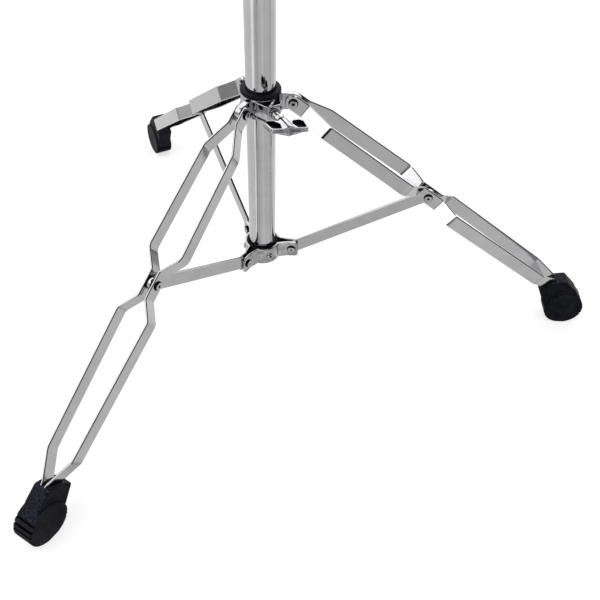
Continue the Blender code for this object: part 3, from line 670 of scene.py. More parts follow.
class GroupShop:
    """Shader node groups that several finishes share, each built once."""

    def __init__(self) -> None:
        """Builds every group."""
        self.tone = self.build_tone()
        self.haze = self.build_haze()
        self.relief = self.build_relief()
        self.dust = self.build_dust()
        self.wear = self.build_wear()

    def start(
        self,
        name: str,
        inputs: dict[str, object],
        outputs: dict[str, Socket],
    ) -> tuple[bpy.types.NodeTree, bpy.types.Node, bpy.types.Node, bpy.types.NodeSocket]:
        """Makes an empty group with its sockets.

        Args:
            name: Name of the group.
            inputs: Default of each input by name, a number or a colour.
            outputs: Kind of each output by name.

        Returns:
            The group, its input node, its output node and a position in metres.
        """
        group = bpy.data.node_groups.new(name, "ShaderNodeTree")
        for label, default in inputs.items():
            kind = Socket.COLOUR if isinstance(default, tuple) else Socket.NUMBER
            socket = group.interface.new_socket(label, in_out="INPUT", socket_type=kind.value)
            socket.default_value = default
        for label, kind in outputs.items():
            group.interface.new_socket(label, in_out="OUTPUT", socket_type=kind.value)
        feed = group.nodes.new("NodeGroupInput")
        out = group.nodes.new("NodeGroupOutput")
        place = group.nodes.new("ShaderNodeTexCoord").outputs["Object"]
        return group, feed, out, place

    def build_tone(self) -> bpy.types.NodeTree:
        """Two tones of one finish, drifting into each other over the surface.

        Returns:
            The group, with a Colour and its Mask.
        """
        group, feed, out, place = self.start(
            "plating_tone",
            {"Tone A": (0.5, 0.5, 0.5, 1.0), "Tone B": (0.4, 0.4, 0.4, 1.0), "Scale": 40.0},
            {"Colour": Socket.COLOUR, "Mask": Socket.NUMBER},
        )
        factor = noise(group, place, feed.outputs["Scale"], detail=4.0, rough=0.55)
        mask = ranged(group, factor, 0.38, 0.62)
        colour = mixed(group, Blend.COLOUR, mask, feed.outputs["Tone A"], feed.outputs["Tone B"])
        group.links.new(colour, out.inputs["Colour"])
        group.links.new(mask, out.inputs["Mask"])
        return group

    def build_haze(self) -> bpy.types.NodeTree:
        """Roughness that drifts between polished and handled, with fine wiping marks.

        Returns:
            The group, with a Roughness and its Mask.
        """
        group, feed, out, place = self.start(
            "handling_haze",
            {"Polished": 0.05, "Handled": 0.14, "Scale": 25.0},
            {"Roughness": Socket.NUMBER, "Mask": Socket.NUMBER},
        )
        broad = noise(group, place, feed.outputs["Scale"], detail=3.0, rough=0.6)
        upright_share = 0.08
        fine_share = 0.35
        stretch = group.nodes.new("ShaderNodeMapping")
        stretch.inputs["Scale"].default_value = (1.0, 1.0, upright_share)
        group.links.new(place, stretch.inputs["Vector"])
        fine = noise(group, stretch.outputs["Vector"], scale=900.0, detail=3.0, rough=0.7)
        marks = calculated(group, "MULTIPLY_ADD", fine, fine_share, broad)
        mask = ranged(group, marks, 0.5, 0.9)
        rough = ranged(group, mask, 0.0, 1.0, feed.outputs["Polished"], feed.outputs["Handled"])
        group.links.new(rough, out.inputs["Roughness"])
        group.links.new(mask, out.inputs["Mask"])
        return group

    def build_relief(self) -> bpy.types.NodeTree:
        """Height of a slow ripple and a fine grain.

        Returns:
            The group, with a Height.
        """
        group, feed, out, place = self.start(
            "surface_relief",
            {"Ripple Scale": 120.0, "Ripple": 0.4, "Grain Scale": 2400.0, "Grain": 0.2},
            {"Height": Socket.NUMBER},
        )
        slow = noise(group, place, feed.outputs["Ripple Scale"], detail=2.0, rough=0.5)
        fast = noise(group, place, feed.outputs["Grain Scale"], detail=3.0, rough=0.6)
        ripple = calculated(group, "MULTIPLY", slow, feed.outputs["Ripple"])
        height = calculated(group, "MULTIPLY_ADD", fast, feed.outputs["Grain"], ripple)
        group.links.new(height, out.inputs["Height"])
        return group

    def build_dust(self) -> bpy.types.NodeTree:
        """Mask of pale dust on what faces up, broken by noise.

        Returns:
            The group, with a Mask.
        """
        group, feed, out, place = self.start(
            "settled_dust", {"Amount": 0.3, "Scale": 180.0}, {"Mask": Socket.NUMBER},
        )
        normal = group.nodes.new("ShaderNodeNewGeometry").outputs["Normal"]
        split = group.nodes.new("ShaderNodeSeparateXYZ")
        group.links.new(normal, split.inputs["Vector"])
        facing = ranged(group, split.outputs["Z"], 0.2, 1.0)
        speckle = noise(group, place, feed.outputs["Scale"], detail=6.0, rough=0.75)
        broken = ranged(group, speckle, 0.42, 0.7, 0.0, feed.outputs["Amount"])
        group.links.new(calculated(group, "MULTIPLY", facing, broken), out.inputs["Mask"])
        return group

    def build_wear(self) -> bpy.types.NodeTree:
        """Mask of rubbed edges from the curvature of the mesh.

        Returns:
            The group, with a Mask.
        """
        group, feed, out, place = self.start(
            "edge_wear", {"Amount": 0.5, "Scale": 300.0}, {"Mask": Socket.NUMBER},
        )
        pointed = group.nodes.new("ShaderNodeNewGeometry").outputs["Pointiness"]
        edge = ranged(group, pointed, 0.52, 0.62)
        chips = noise(group, place, feed.outputs["Scale"], detail=4.0, rough=0.7)
        broken = ranged(group, chips, 0.35, 0.6, 0.0, feed.outputs["Amount"])
        group.links.new(calculated(group, "MULTIPLY", edge, broken), out.inputs["Mask"])
        return group


@dataclass(frozen=True)
class Finish:
    """One finish of the stand: its tones, its gloss and its relief."""

    name: str
    slot: Slot
    tone_a: Colour
    tone_b: Colour
    polished: float
    handled: float
    metallic: float = 1.0
    tone_scale: float = 40.0
    haze_scale: float = 25.0
    ripple_scale: float = 90.0
    ripple: float = 0.5
    grain_scale: float = 2600.0
    grain: float = 0.1
    bump: float = 0.08
    specular: float = 0.5
    dust: float = 0.0
    dust_scale: float = 420.0
    dust_tone: Colour = (0.25, 0.25, 0.26)
    wear: float = 0.0
    wear_scale: float = 300.0
    wear_tone: Colour = (0.6, 0.6, 0.6)

    def material(self, groups: GroupShop) -> bpy.types.Material:
        """Builds the finish as a node material.

        Args:
            groups: The shared node groups.

        Returns:
            The new material.
        """
        made = bpy.data.materials.new(self.name)
        made.use_nodes = True
        tree = made.node_tree
        shader = tree.nodes["Principled BSDF"]
        shader.inputs["Metallic"].default_value = self.metallic
        shader.inputs["Specular IOR Level"].default_value = self.specular
        tone = self.place(tree, groups.tone, {
            "Tone A": (*self.tone_a, 1.0), "Tone B": (*self.tone_b, 1.0), "Scale": self.tone_scale,
        })
        colour = tone.outputs["Colour"]
        layers = (
            (self.wear, self.wear_scale, self.wear_tone, groups.wear),
            (self.dust, self.dust_scale, self.dust_tone, groups.dust),
        )
        for amount, scale, top, group in layers:
            if amount > 0.0:
                layer = self.place(tree, group, {"Amount": amount, "Scale": scale})
                colour = mixed(tree, Blend.COLOUR, layer.outputs["Mask"], colour, (*top, 1.0))
        tree.links.new(colour, shader.inputs["Base Color"])
        haze = self.place(tree, groups.haze, {
            "Polished": self.polished, "Handled": self.handled, "Scale": self.haze_scale,
        })
        tree.links.new(haze.outputs["Roughness"], shader.inputs["Roughness"])
        relief = self.place(tree, groups.relief, {
            "Ripple Scale": self.ripple_scale, "Ripple": self.ripple,
            "Grain Scale": self.grain_scale, "Grain": self.grain,
        })
        bump = tree.nodes.new("ShaderNodeBump")
        bump.inputs["Strength"].default_value = self.bump
        bump.inputs["Distance"].default_value = RELIEF_UNIT
        tree.links.new(relief.outputs["Height"], bump.inputs["Height"])
        tree.links.new(bump.outputs["Normal"], shader.inputs["Normal"])
        return made

    def place(
        self,
        tree: bpy.types.NodeTree,
        group: bpy.types.NodeTree,
        values: dict[str, object],
    ) -> bpy.types.Node:
        """Puts a shared group in the material with its own values.

        Args:
            tree: The material's node tree.
            group: The shared group.
            values: Value of each input by name.

        Returns:
            The group's node.
        """
        node = tree.nodes.new("ShaderNodeGroup")
        node.node_tree = group
        for label, value in values.items():
            node.inputs[label].default_value = value
        return node


FINISHES = (
    Finish("tube_plating", Slot.TUBE, (0.500, 0.500, 0.504), (0.455, 0.457, 0.465),
           polished=0.03, handled=0.07, ripple=0.25, bump=0.05),
    Finish("strip_plating", Slot.STRIP, (0.46, 0.46, 0.467), (0.425, 0.425, 0.434),
           polished=0.05, handled=0.11, ripple=0.6, bump=0.06),
    # The plates' dark second tone is partly random plating tone and partly painted reflection contrast.
    Finish("plate_plating", Slot.PLATE, (0.45, 0.45, 0.455), (0.27, 0.27, 0.278),
           polished=0.07, handled=0.16, tone_scale=110.0, ripple=0.9, bump=0.10),
    Finish("fastener_plating", Slot.FASTENER, (0.46, 0.46, 0.46), (0.36, 0.36, 0.365),
           polished=0.06, handled=0.14, ripple=0.8, bump=0.08),
    Finish("cast_plating", Slot.CAST, (0.46, 0.46, 0.47), (0.35, 0.35, 0.364),
           polished=0.05, handled=0.12, tone_scale=120.0, ripple_scale=260.0, ripple=0.9, grain=0.15, bump=0.12),
    Finish("bush_plastic", Slot.PLASTIC, (0.0060, 0.0058, 0.0090), (0.0100, 0.0098, 0.0140),
           polished=0.30, handled=0.45, metallic=0.0, ripple=0.3, grain_scale=1800.0, grain=0.8, bump=0.12,
           specular=0.035),
    Finish("foot_rubber", Slot.RUBBER, (0.0030, 0.0033, 0.0056), (0.0085, 0.0090, 0.0132),
           polished=0.42, handled=0.60, metallic=0.0, tone_scale=110.0, ripple_scale=300.0, ripple=0.7,
           grain_scale=1500.0, grain=1.0, bump=0.30, specular=0.030, dust=0.85, dust_tone=(0.055, 0.056, 0.076),
           wear=0.35, wear_tone=(0.022, 0.022, 0.028)),
)
# Painted shade: a near-black matt colour laid on the faces of recesses, grooves, the collar's bore and rivet roots,
# where shade falls.
SHADE_PAINT = Finish("recess_shade", Slot.CAST, (0.0045, 0.0047, 0.0075), (0.0018, 0.0018, 0.0030),
                       polished=0.25, handled=0.40, metallic=0.0, ripple_scale=260.0, ripple=0.8, bump=0.15,
                       specular=0.05)


class Workshop:
    """Dresses meshes and hands them to the frame."""

    def __init__(self) -> None:
        """Builds every finish."""
        groups = GroupShop()
        self.materials = {finish.slot: finish.material(groups) for finish in FINISHES}
        # The painted shade for recess, groove, bore and rivet-root faces.
        self.painted_shade = SHADE_PAINT.material(groups)
        self.made: list[str] = []

    def add(
        self,
        name: str,
        mesh: bpy.types.Mesh,
        slot: Slot,
        body: str,
        node: str,
        sharp: float = 40.0,
    ) -> None:
        """Makes one piece of the stand.

        Args:
            name: Name of the piece.
            mesh: Its mesh in the stand's frame.
            slot: Finish and material slot.
            body: CAD body it rides on.
            node: CAD node it stands for.
            sharp: Angle in degrees over which an edge stays crisp.
        """
        mesh.name = name
        places = [face.material_index for face in mesh.polygons]
        mesh.materials.clear()
        mesh.materials.append(self.materials[slot])
        # The second material slot holds the painted shade.
        mesh.materials.append(self.painted_shade)
        mesh.polygons.foreach_set("material_index", places)
        mesh.shade_smooth()
        mesh.set_sharp_from_angle(angle=math.radians(sharp))
        piece = bpy.data.objects.new(name, mesh)
        bpy.context.scene.collection.objects.link(piece)
        weighted = piece.modifiers.new("even_shading", "WEIGHTED_NORMAL")
        weighted.keep_sharp = True
        weighted.weight = SHADING_WEIGHT
        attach(piece, body)
        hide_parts(node)
        self.made.append(name)
        LOG.info("%s: %d faces, rides on %s", name, len(mesh.polygons), body)


@dataclass(frozen=True)
class Rivet:
    """Rivet along Z: a plain shank, and domed heads that each have a pressed dimple."""

    dimple: float
    radius: float = 0.00525
    tall: float = 0.0022
    shank_radius: float = 0.003
    shank_core: float = 0.0005
    head_steps: int = 48
    shank_steps: int = 32

    def head(self, seat: float) -> bpy.types.Mesh:
        """Domed head on +Z, with painted shade on its root ring and inside its dimple.

        Args:
            seat: Height at which the head starts.

        Returns:
            The closed mesh.
        """
        radius, tall, dimple = self.radius, self.tall, self.dimple
        profile = [
            (dimple * 0.15, seat + tall * 0.40),
            (dimple * 0.70, seat + tall * 0.45),
            (dimple, seat + tall),
            (radius * 0.66, seat + tall * 0.97),
            (radius * 0.92, seat + tall * 0.68),
            (radius, seat + tall * 0.20),
            (radius * 0.98, seat),
            (radius * 0.15, seat - GAP),
        ]
        radii = [0.0, dimple * 0.3, dimple * 0.25, radius * 0.4, radius * 0.3, radius * 0.1, radius * 0.03, 0.0]
        head = lathe("head", profile, radii, self.head_steps, loop=False)
        all_on(head, Face.SKIN)
        for face in head.polygons:
            # The ring at the head's root and the inside of the dimple take painted shade.
            out = math.hypot(face.center.x, face.center.y)
            root = out > radius * 0.5 and face.center.z < seat + tall * 0.80
            if root or (out < dimple * 0.85 and face.center.z > seat):
                face.material_index = Face.PAINTED_SHADE.value
        return head

    def shank(self, low: float, high: float) -> bpy.types.Mesh:
        """Shank between two heights."""
        return rod("shank", self.shank_core, self.shank_radius, low, high, self.shank_steps)

    def through(self, pivot: Matrix, outside: float) -> bpy.types.Mesh:
        """Whole rivet through a joint, with a head on each side.

        Args:
            pivot: Frame of the joint, with its Y axis along the rivet.
            outside: Distance from the joint's middle plane to its outer faces.

        Returns:
            The rivet's mesh in the stand's frame.
        """
        parts = [moved(self.head(outside + GAP / 2), pivot @ side.outwards()) for side in Side]
        parts.append(moved(self.shank(-outside, outside), pivot @ Matrix.Rotation(math.pi / 2, 4, "X")))
        return joined("rivet", parts)


@dataclass
class BaseTube:
    """Upright tube with its open, deburred top."""

    radius: float = 0.0159
    wall: float = 0.0015
    bottom: float = 0.08838746840111428
    top: float = 0.520
    rim: float = 0.00045
    steps: int = 160

    def build(self, shop: Workshop) -> None:
        """Makes the tube.

        Args:
            shop: Dresses the meshes.
        """
        bore = self.radius - self.wall
        profile = [(bore, self.bottom), (bore, self.top), (self.radius, self.top), (self.radius, self.bottom)]
        mesh = lathe("base_tube", profile, [self.rim] * len(profile), self.steps)
        place = Matrix.Translation((STAND_X, 0.0, 0.0))
        shop.add("tube_dressed", moved(mesh, place), Slot.TUBE, "base", "base_tube")


@dataclass
class LowerHub:
    """Sleeve, three pressed plates, their screws and the brace rivets."""

    sleeve_bore: float = 0.0162
    sleeve_wall: float = 0.0026
    sleeve_height: float = 0.0196
    plate_height: float = 0.0224
    plate_thickness: float = 0.0025
    mouth: float = 0.0100
    ear_length: float = 0.0080
    ear_flat_inside: float = 0.0048
    ear_corner: float = 0.0040
    bend: float = 0.0024
    edge: float = 0.0006
    arc_steps: int = 14
    screw_head: float = 0.0042
    screw_tall: float = 0.0019
    screw_depth: float = 0.006
    cross_turn: float = 0.35
    rivet: Rivet = Rivet(dimple=0.0012)

    def plate_inner(self) -> float:
        """Radius of the plates' inner face."""
        return self.sleeve_bore + self.sleeve_wall + GAP

    def ear_inner(self) -> float:
        """Distance of an ear's inner face from the brace's middle plane."""
        return BRACE_THICKNESS / 2 + GAP

    def plate_path(self) -> list[tuple[Vector, float]]:
        """Inner face of a plate, from one ear's tip to the other's.

        Returns:
            Points of the path, each with the plate's half height there.
        """
        half = self.plate_height / 2
        tip = LOWER_PIVOT_RADIUS + self.ear_length
        inner = self.ear_inner()
        radius = self.plate_inner()
        turn = Matrix.Rotation(-LEG_STEP / 2, 2)
        ear = []
        for back, width in round_tip(half, self.ear_corner):
            ear.append((turn @ Vector((tip - self.ear_corner + back, inner)), width))
        ear.append((turn @ Vector((tip - self.ear_corner, inner)), half))
        start = math.asin(self.mouth / 2 / radius) - LEG_STEP / 2
        corner = turn @ Vector((LOWER_PIVOT_RADIUS - self.ear_flat_inside, inner))
        turns = [start * (1 - step / self.arc_steps) for step in range(self.arc_steps + 1)]
        arc = on_circle(turns, radius)
        corners = [ear[-1][0], corner, arc[0], arc[1]]
        bends = fillet(corners, [0.0, self.bend, self.bend, 0.0], steps=5, closed=False)
        side = ear + [(point, half) for point, index in bends if index in (1, 2)]
        side += [(point, half) for point in arc[1:]]
        mirrored = [(Vector((point.x, -point.y)), width) for point, width in reversed(side[:-1])]
        return side + mirrored

    def screw(self) -> bpy.types.Mesh:
        """Pan-head screw along +X with a cross recess, whose faces carry painted shade.

        Returns:
            The screw's mesh, seated on a plate's outer face.
        """
        seat = self.plate_inner() + self.plate_thickness
        root = seat - self.screw_depth
        head = self.screw_head
        tall = self.screw_tall
        profile = [
            (head * 0.1, seat + tall), (head * 0.6, seat + tall), (head * 0.97, seat + tall * 0.5),
            (head, seat), (head * 0.4, seat), (head * 0.4, root), (head * 0.1, root),
        ]
        radii = [0.0, head * 0.3, head * 0.25, 0.0002, 0.0, 0.0, 0.0]
        solid = lathe("screw", profile, radii, steps=48, loop=False)
        floor = seat + tall * 0.35
        shoulder = floor + tall * 0.4
        past = seat + 2 * tall
        cross = [
            (-head * 0.55, shoulder), (-head * 0.25, floor), (head * 0.25, floor),
            (head * 0.55, shoulder), (head * 0.55, past), (-head * 0.55, past),
        ]
        cutters = []
        for turn in (self.cross_turn, self.cross_turn + math.pi / 2):
            cutters.append(moved(plank("blade", cross, head * 0.17), Matrix.Rotation(turn, 4, "Z")))
        # The cross's faces take the painted shade.
        return moved(carved(solid, cutters), ALONG_X)

    def build(self, shop: Workshop) -> None:
        """Makes the pieces of the lower hub.

        Args:
            shop: Dresses the meshes.
        """
        half = self.sleeve_height / 2
        outer = self.sleeve_bore + self.sleeve_wall
        profile = [(self.sleeve_bore, -half), (self.sleeve_bore, half), (outer, half), (outer, -half)]
        sleeve = lathe("sleeve", profile, [0.0003, 0.0003, 0.0006, 0.0006])
        place = radial_frame(0.0, 0.0, LOWER_HEIGHT)
        shop.add("sleeve_dressed", moved(sleeve, place), Slot.PLASTIC, "base", "lower_hub_sleeve")
        plate = strip_sweep("plate", self.plate_path(), self.plate_thickness, -self.plate_thickness / 2, self.edge)
        screw = self.screw()
        outside = self.ear_inner() + self.plate_thickness
        for index in range(LEG_COUNT):
            number = index + 1
            facing = radial_frame((index + 0.5) * LEG_STEP, 0.0, LOWER_HEIGHT)
            shop.add(f"plate_{number}_dressed", moved(plate.copy(), facing), Slot.PLATE, "base",
                     f"lower_hub_plate_{number}")
            shop.add(f"plate_screw_{number}", moved(screw.copy(), facing), Slot.FASTENER, "base",
                     f"lower_hub_screw_{number}")
            pivot = radial_frame(index * LEG_STEP, LOWER_PIVOT_RADIUS, LOWER_HEIGHT)
            shop.add(f"brace_rivet_{number}", self.rivet.through(pivot, outside), Slot.FASTENER, "base",
                     f"lower_hub_rivet_{number}")


@dataclass
class LegHub:
    """Cast collar with lugs and clamp block, on its plastic bush.

    Heights are over the legs' pivots, and azimuths are in degrees. window holds the azimuths
    from the first leg between which the rim drops to the sill, and those between which it
    rises again. The block is made along +X and turned to clamp_azimuth: wall_side is the
    azimuth from +X that its left wall faces, and a recess in that wall is
    (from, to, low, high).
    """

    bore: float = 0.0186
    outer: float = 0.0213
    above: float = 0.0098
    below: float = 0.0120
    rim: float = 0.0006
    # Radial depth from the bore within which the collar's faces carry painted shade.
    painted_bore_shade: float = 0.0014
    band: float = 0.0017
    band_flare: Flat = (-0.0075, -0.0040)
    sill: float = -0.0045
    window: tuple[float, float, float, float] = (-43.0, -41.5, -9.5, -8.0)
    columns: int = 360
    rows: int = 46
    lug_root: float = 0.0008
    lug_thickness: float = 0.0064
    lug_end: float = 0.0092
    lug_fillet: float = 0.003
    lug_edge: float = 0.0008
    lug_lines: tuple[float, ...] = (0.0229, 0.0258)
    line_depth: float = 0.0007
    line_half: float = 0.0004
    clamp_azimuth: float = -60.0
    block_root: float = 0.00135
    block_half: float = 0.00725
    block_above: float = 0.0090
    block_below: float = 0.0088
    block_reach: float = 0.0325
    block_edge: float = 0.0007
    wall_side: float = -62.0
    pocket_floor: float = 0.0052
    pocket_wall: float = 0.0014
    recesses: tuple[tuple[float, float, float, float], ...] = (
        (0.0050, 0.0102, -0.0012, 0.0082), (0.0142, 0.0188, 0.0036, 0.0080),
    )
    recess_depth: float = 0.0018
    recess_corner: float = 0.0009
    flare_length: float = 0.0232
    flare_depth: float = 0.004
    flare_taper: float = 0.003
    flare_grow: float = 0.0011
    flare_shrink: float = 0.0006
    flare_sole: float = 0.0010
    flare_top: float = -0.0040
    boss_bore: float = 0.0041
    boss_radius: float = 0.0063
    boss_reach: float = 0.0346
    bush_bore: float = 0.0162
    bush_outer: float = 0.0183
    flange: float = 0.0218
    flange_low: float = 0.0101
    flange_high: float = 0.0143
    rivet: Rivet = Rivet(dimple=0.0019)

    def wall_radius(self, height: float) -> float:
        """Outer radius of the collar's wall at a height: it flares to a lower band."""
        return self.outer + self.band * (1.0 - smooth_step(*self.band_flare, height))

    def wall_top(self, azimuth: float) -> float:
        """Height of the collar's rim, which drops to the sill of the window beside the clamp block.

        Args:
            azimuth: Direction from the tube.

        Returns:
            The rim's height.
        """
        drop_from, drop_to, rise_from, rise_to = self.window
        drop = smooth_step(drop_from, drop_to, azimuth) * (1.0 - smooth_step(rise_from, rise_to, azimuth))
        return self.above - drop * (self.above - self.sill)

    def collar(self) -> bpy.types.Mesh:
        """Wall of the collar as a grid round the tube, with its lower band, its window and painted shade on its
        bore.

        Returns:
            The closed mesh.
        """
        rings: list[list[tuple[float, float, float]]] = []
        for column in range(self.columns):
            azimuth = -180.0 + 360.0 * column / self.columns
            turn = math.radians(azimuth)
            top = self.wall_top(azimuth)
            profile = [(self.bore, -self.below)]
            for row in range(self.rows + 1):
                height = -self.below + (top + self.below) * row / self.rows
                near = min(height + self.below, top - height)
                short = 1.0 - min(1.0, near / self.rim)
                rounding = self.rim * (1.0 - math.sqrt(max(0.0, 1.0 - short ** 2)))
                profile.append((self.wall_radius(height) - rounding, height))
            profile.append((self.bore, top))
            rings.append([(radius * math.cos(turn), radius * math.sin(turn), height) for radius, height in profile])
        mesh = skin("collar", rings, loop=True)
        all_on(mesh, Face.SKIN)
        # The bore's faces take the painted shade.
        for face in mesh.polygons:
            centre = face.center
            if math.hypot(centre.x, centre.y) < self.bore + self.painted_bore_shade and centre.z > GAP - self.below:
                face.material_index = Face.PAINTED_SHADE.value
        return mesh

    def lug(self, turn: float) -> bpy.types.Mesh:
        """Lug that carries one leg, with the casting's upright lines cut in its sides and painted shade on the
        lines' faces.

        Args:
            turn: Azimuth of the leg in radians.

        Returns:
            The closed mesh.
        """
        root = self.bore + self.lug_root
        end = self.lug_end
        arc = [(HUB_PIVOT_RADIUS + end * math.cos(angle), end * math.sin(angle))
               for angle in spread(-math.pi / 2, math.pi / 2, 12)]
        corners = [(root, -self.below + GAP), (HUB_PIVOT_RADIUS - end, -end), *arc, (root, self.above - GAP)]
        outline = soft_path(corners, [0.0, self.lug_fillet] + [0.0] * (len(arc) + 1))
        half = self.lug_thickness / 2
        lug = bevelled_prism("lug", outline, -half, half, self.lug_edge)
        cutters = []
        for line in self.lug_lines:
            for side in (1.0, -1.0):
                past = side * (half + 0.001)
                ring = [(line, side * (half - self.line_depth)), (line - self.line_half, past),
                        (line + self.line_half, past)]
                cutters.append(post("line", ring, -self.below * 0.7, self.above * 0.85))
        # The lines' cut faces take the painted shade.
        return moved(carved(lug, cutters), Matrix.Rotation(turn, 4, "Z"))

    def bore_cutter(self) -> bpy.types.Mesh:
        """Rod that frees the clamp block from the bush."""
        return rod("bore", core=0.0002, radius=self.bore + self.block_root, low=-CLEAR, high=CLEAR, steps=96)

    def block(self) -> bpy.types.Mesh:
        """Clamp block: a straight left wall off the collar, an open pocket on top, and the screw's boss.

        Returns:
            The block's closed solids in one mesh.
        """
        root = self.bore + self.block_root
        half = self.block_half
        side = math.radians(self.wall_side)
        touch = (self.outer - GAP) * Vector((math.cos(side), math.sin(side)))
        corners = [(touch.x, touch.y), (self.block_reach, -half), (self.block_reach, half), (root * 0.93, half)]
        outline = soft_path(corners, [0.0, 0.0012, 0.0014, 0.0], 5)
        solid = upright_prism("block", outline, -self.block_below, self.block_above, self.block_edge)
        front = self.block_reach - self.pocket_wall
        ring = [(front, self.pocket_wall - half), (front, 3 * half), (self.bush_outer, 3 * half),
                (self.bush_outer, half)]
        pocket = post("pocket", ring, self.pocket_floor, CLEAR)
        # The wall's recesses take the painted shade; the pocket and bore cuts keep the plating.
        solid = carved(solid, self.recess_cutters(side), plated=[pocket, self.bore_cutter()])
        lower = carved(self.flare(), [self.bore_cutter()])
        boss = self.boss_radius
        reach = self.boss_reach
        profile = [
            (self.boss_bore, reach - 0.004), (self.boss_bore, reach - 0.0006), (boss - 0.0012, reach),
            (boss, reach - 0.0010), (boss, root), (self.boss_bore, root),
        ]
        seat = moved(lathe("boss", profile, [0.0, 0.0003, 0.0005, 0.0006, 0.0, 0.0], steps=64), ALONG_X)
        turned = Matrix.Rotation(math.radians(self.clamp_azimuth), 4, "Z")
        return moved(joined("block", [solid, lower, seat]), turned)

    def recess_cutters(self, side: float) -> list[bpy.types.Mesh]:
        """Cutters for the shallow recesses in the block's left wall, wider outside than inside; the faces they leave
        carry painted shade.

        Args:
            side: Azimuth in radians that the wall faces.

        Returns:
            The cutters.
        """
        draft = ((-self.recess_depth, 0.0006), (0.0005, 0.0), (0.004, -0.002))
        cutters = []
        for start, end, low, high in self.recesses:
            corners = [(start, low), (end, low), (end, high), (start, high)]
            outline = soft_path(corners, [self.recess_corner] * len(corners), 3)
            rings = []
            for out, drawn in draft:
                rings.append([(self.outer + out, point.x, point.y) for point in inset(outline, drawn)])
            cutters.append(moved(skin("painted_shade", rings), Matrix.Rotation(side, 4, "Z")))
        return cutters

    def flare_ring(self, grow: float) -> list[Flat]:
        """Plan of the flared foot of the block's left wall.

        Args:
            grow: How far it stands out from the wall.

        Returns:
            Its four corners.
        """
        side = math.radians(self.wall_side)
        out = Vector((math.cos(side), math.sin(side)))
        along = Vector((-out.y, out.x))
        near = out * (self.outer - GAP + grow)
        far = near + along * self.flare_length
        inner = out * (self.outer - self.flare_depth)
        return [tuple(near), tuple(far), tuple(inner + along * (self.flare_length - self.flare_taper)), tuple(inner)]

    def flare(self) -> bpy.types.Mesh:
        """Flared foot of the block's left wall: upright at its sole, and drawn in above.

        Returns:
            The closed mesh.
        """
        layers = (
            (self.flare_grow, -self.block_below),
            (self.flare_grow, -self.block_below + self.flare_sole),
            (-self.flare_shrink, self.flare_top),
        )
        return skin("flare", [[(x, y, level) for x, y in self.flare_ring(grow)] for grow, level in layers])

    def build(self, shop: Workshop) -> None:
        """Makes the casting, the bush and the three leg rivets.

        Args:
            shop: Dresses the meshes.
        """
        place = radial_frame(0.0, 0.0, HUB_HEIGHT)
        parts = [self.collar(), self.block()] + [self.lug(index * LEG_STEP) for index in range(LEG_COUNT)]
        shop.add("hub_casting", moved(joined("hub", parts), place), Slot.CAST, "hub", "leg_hub", sharp=50.0)
        profile = [
            (self.bush_bore, -self.below), (self.bush_bore, self.flange_high), (self.flange, self.flange_high),
            (self.flange, self.flange_low), (self.bush_outer, self.flange_low), (self.bush_outer, -self.below),
        ]
        bush = lathe("bush", profile, [0.0004, 0.0008, 0.0016, 0.0008, 0.0, 0.0005], steps=128)
        shop.add("bush_dressed", moved(bush, place), Slot.PLASTIC, "hub", "hub_bush")
        for index in range(LEG_COUNT):
            pivot = radial_frame(index * LEG_STEP, HUB_PIVOT_RADIUS, HUB_HEIGHT)
            shop.add(f"leg_rivet_{index + 1}", self.rivet.through(pivot, TAB_OUTER), Slot.FASTENER, "hub",
                     f"hub_rivet_{index + 1}")


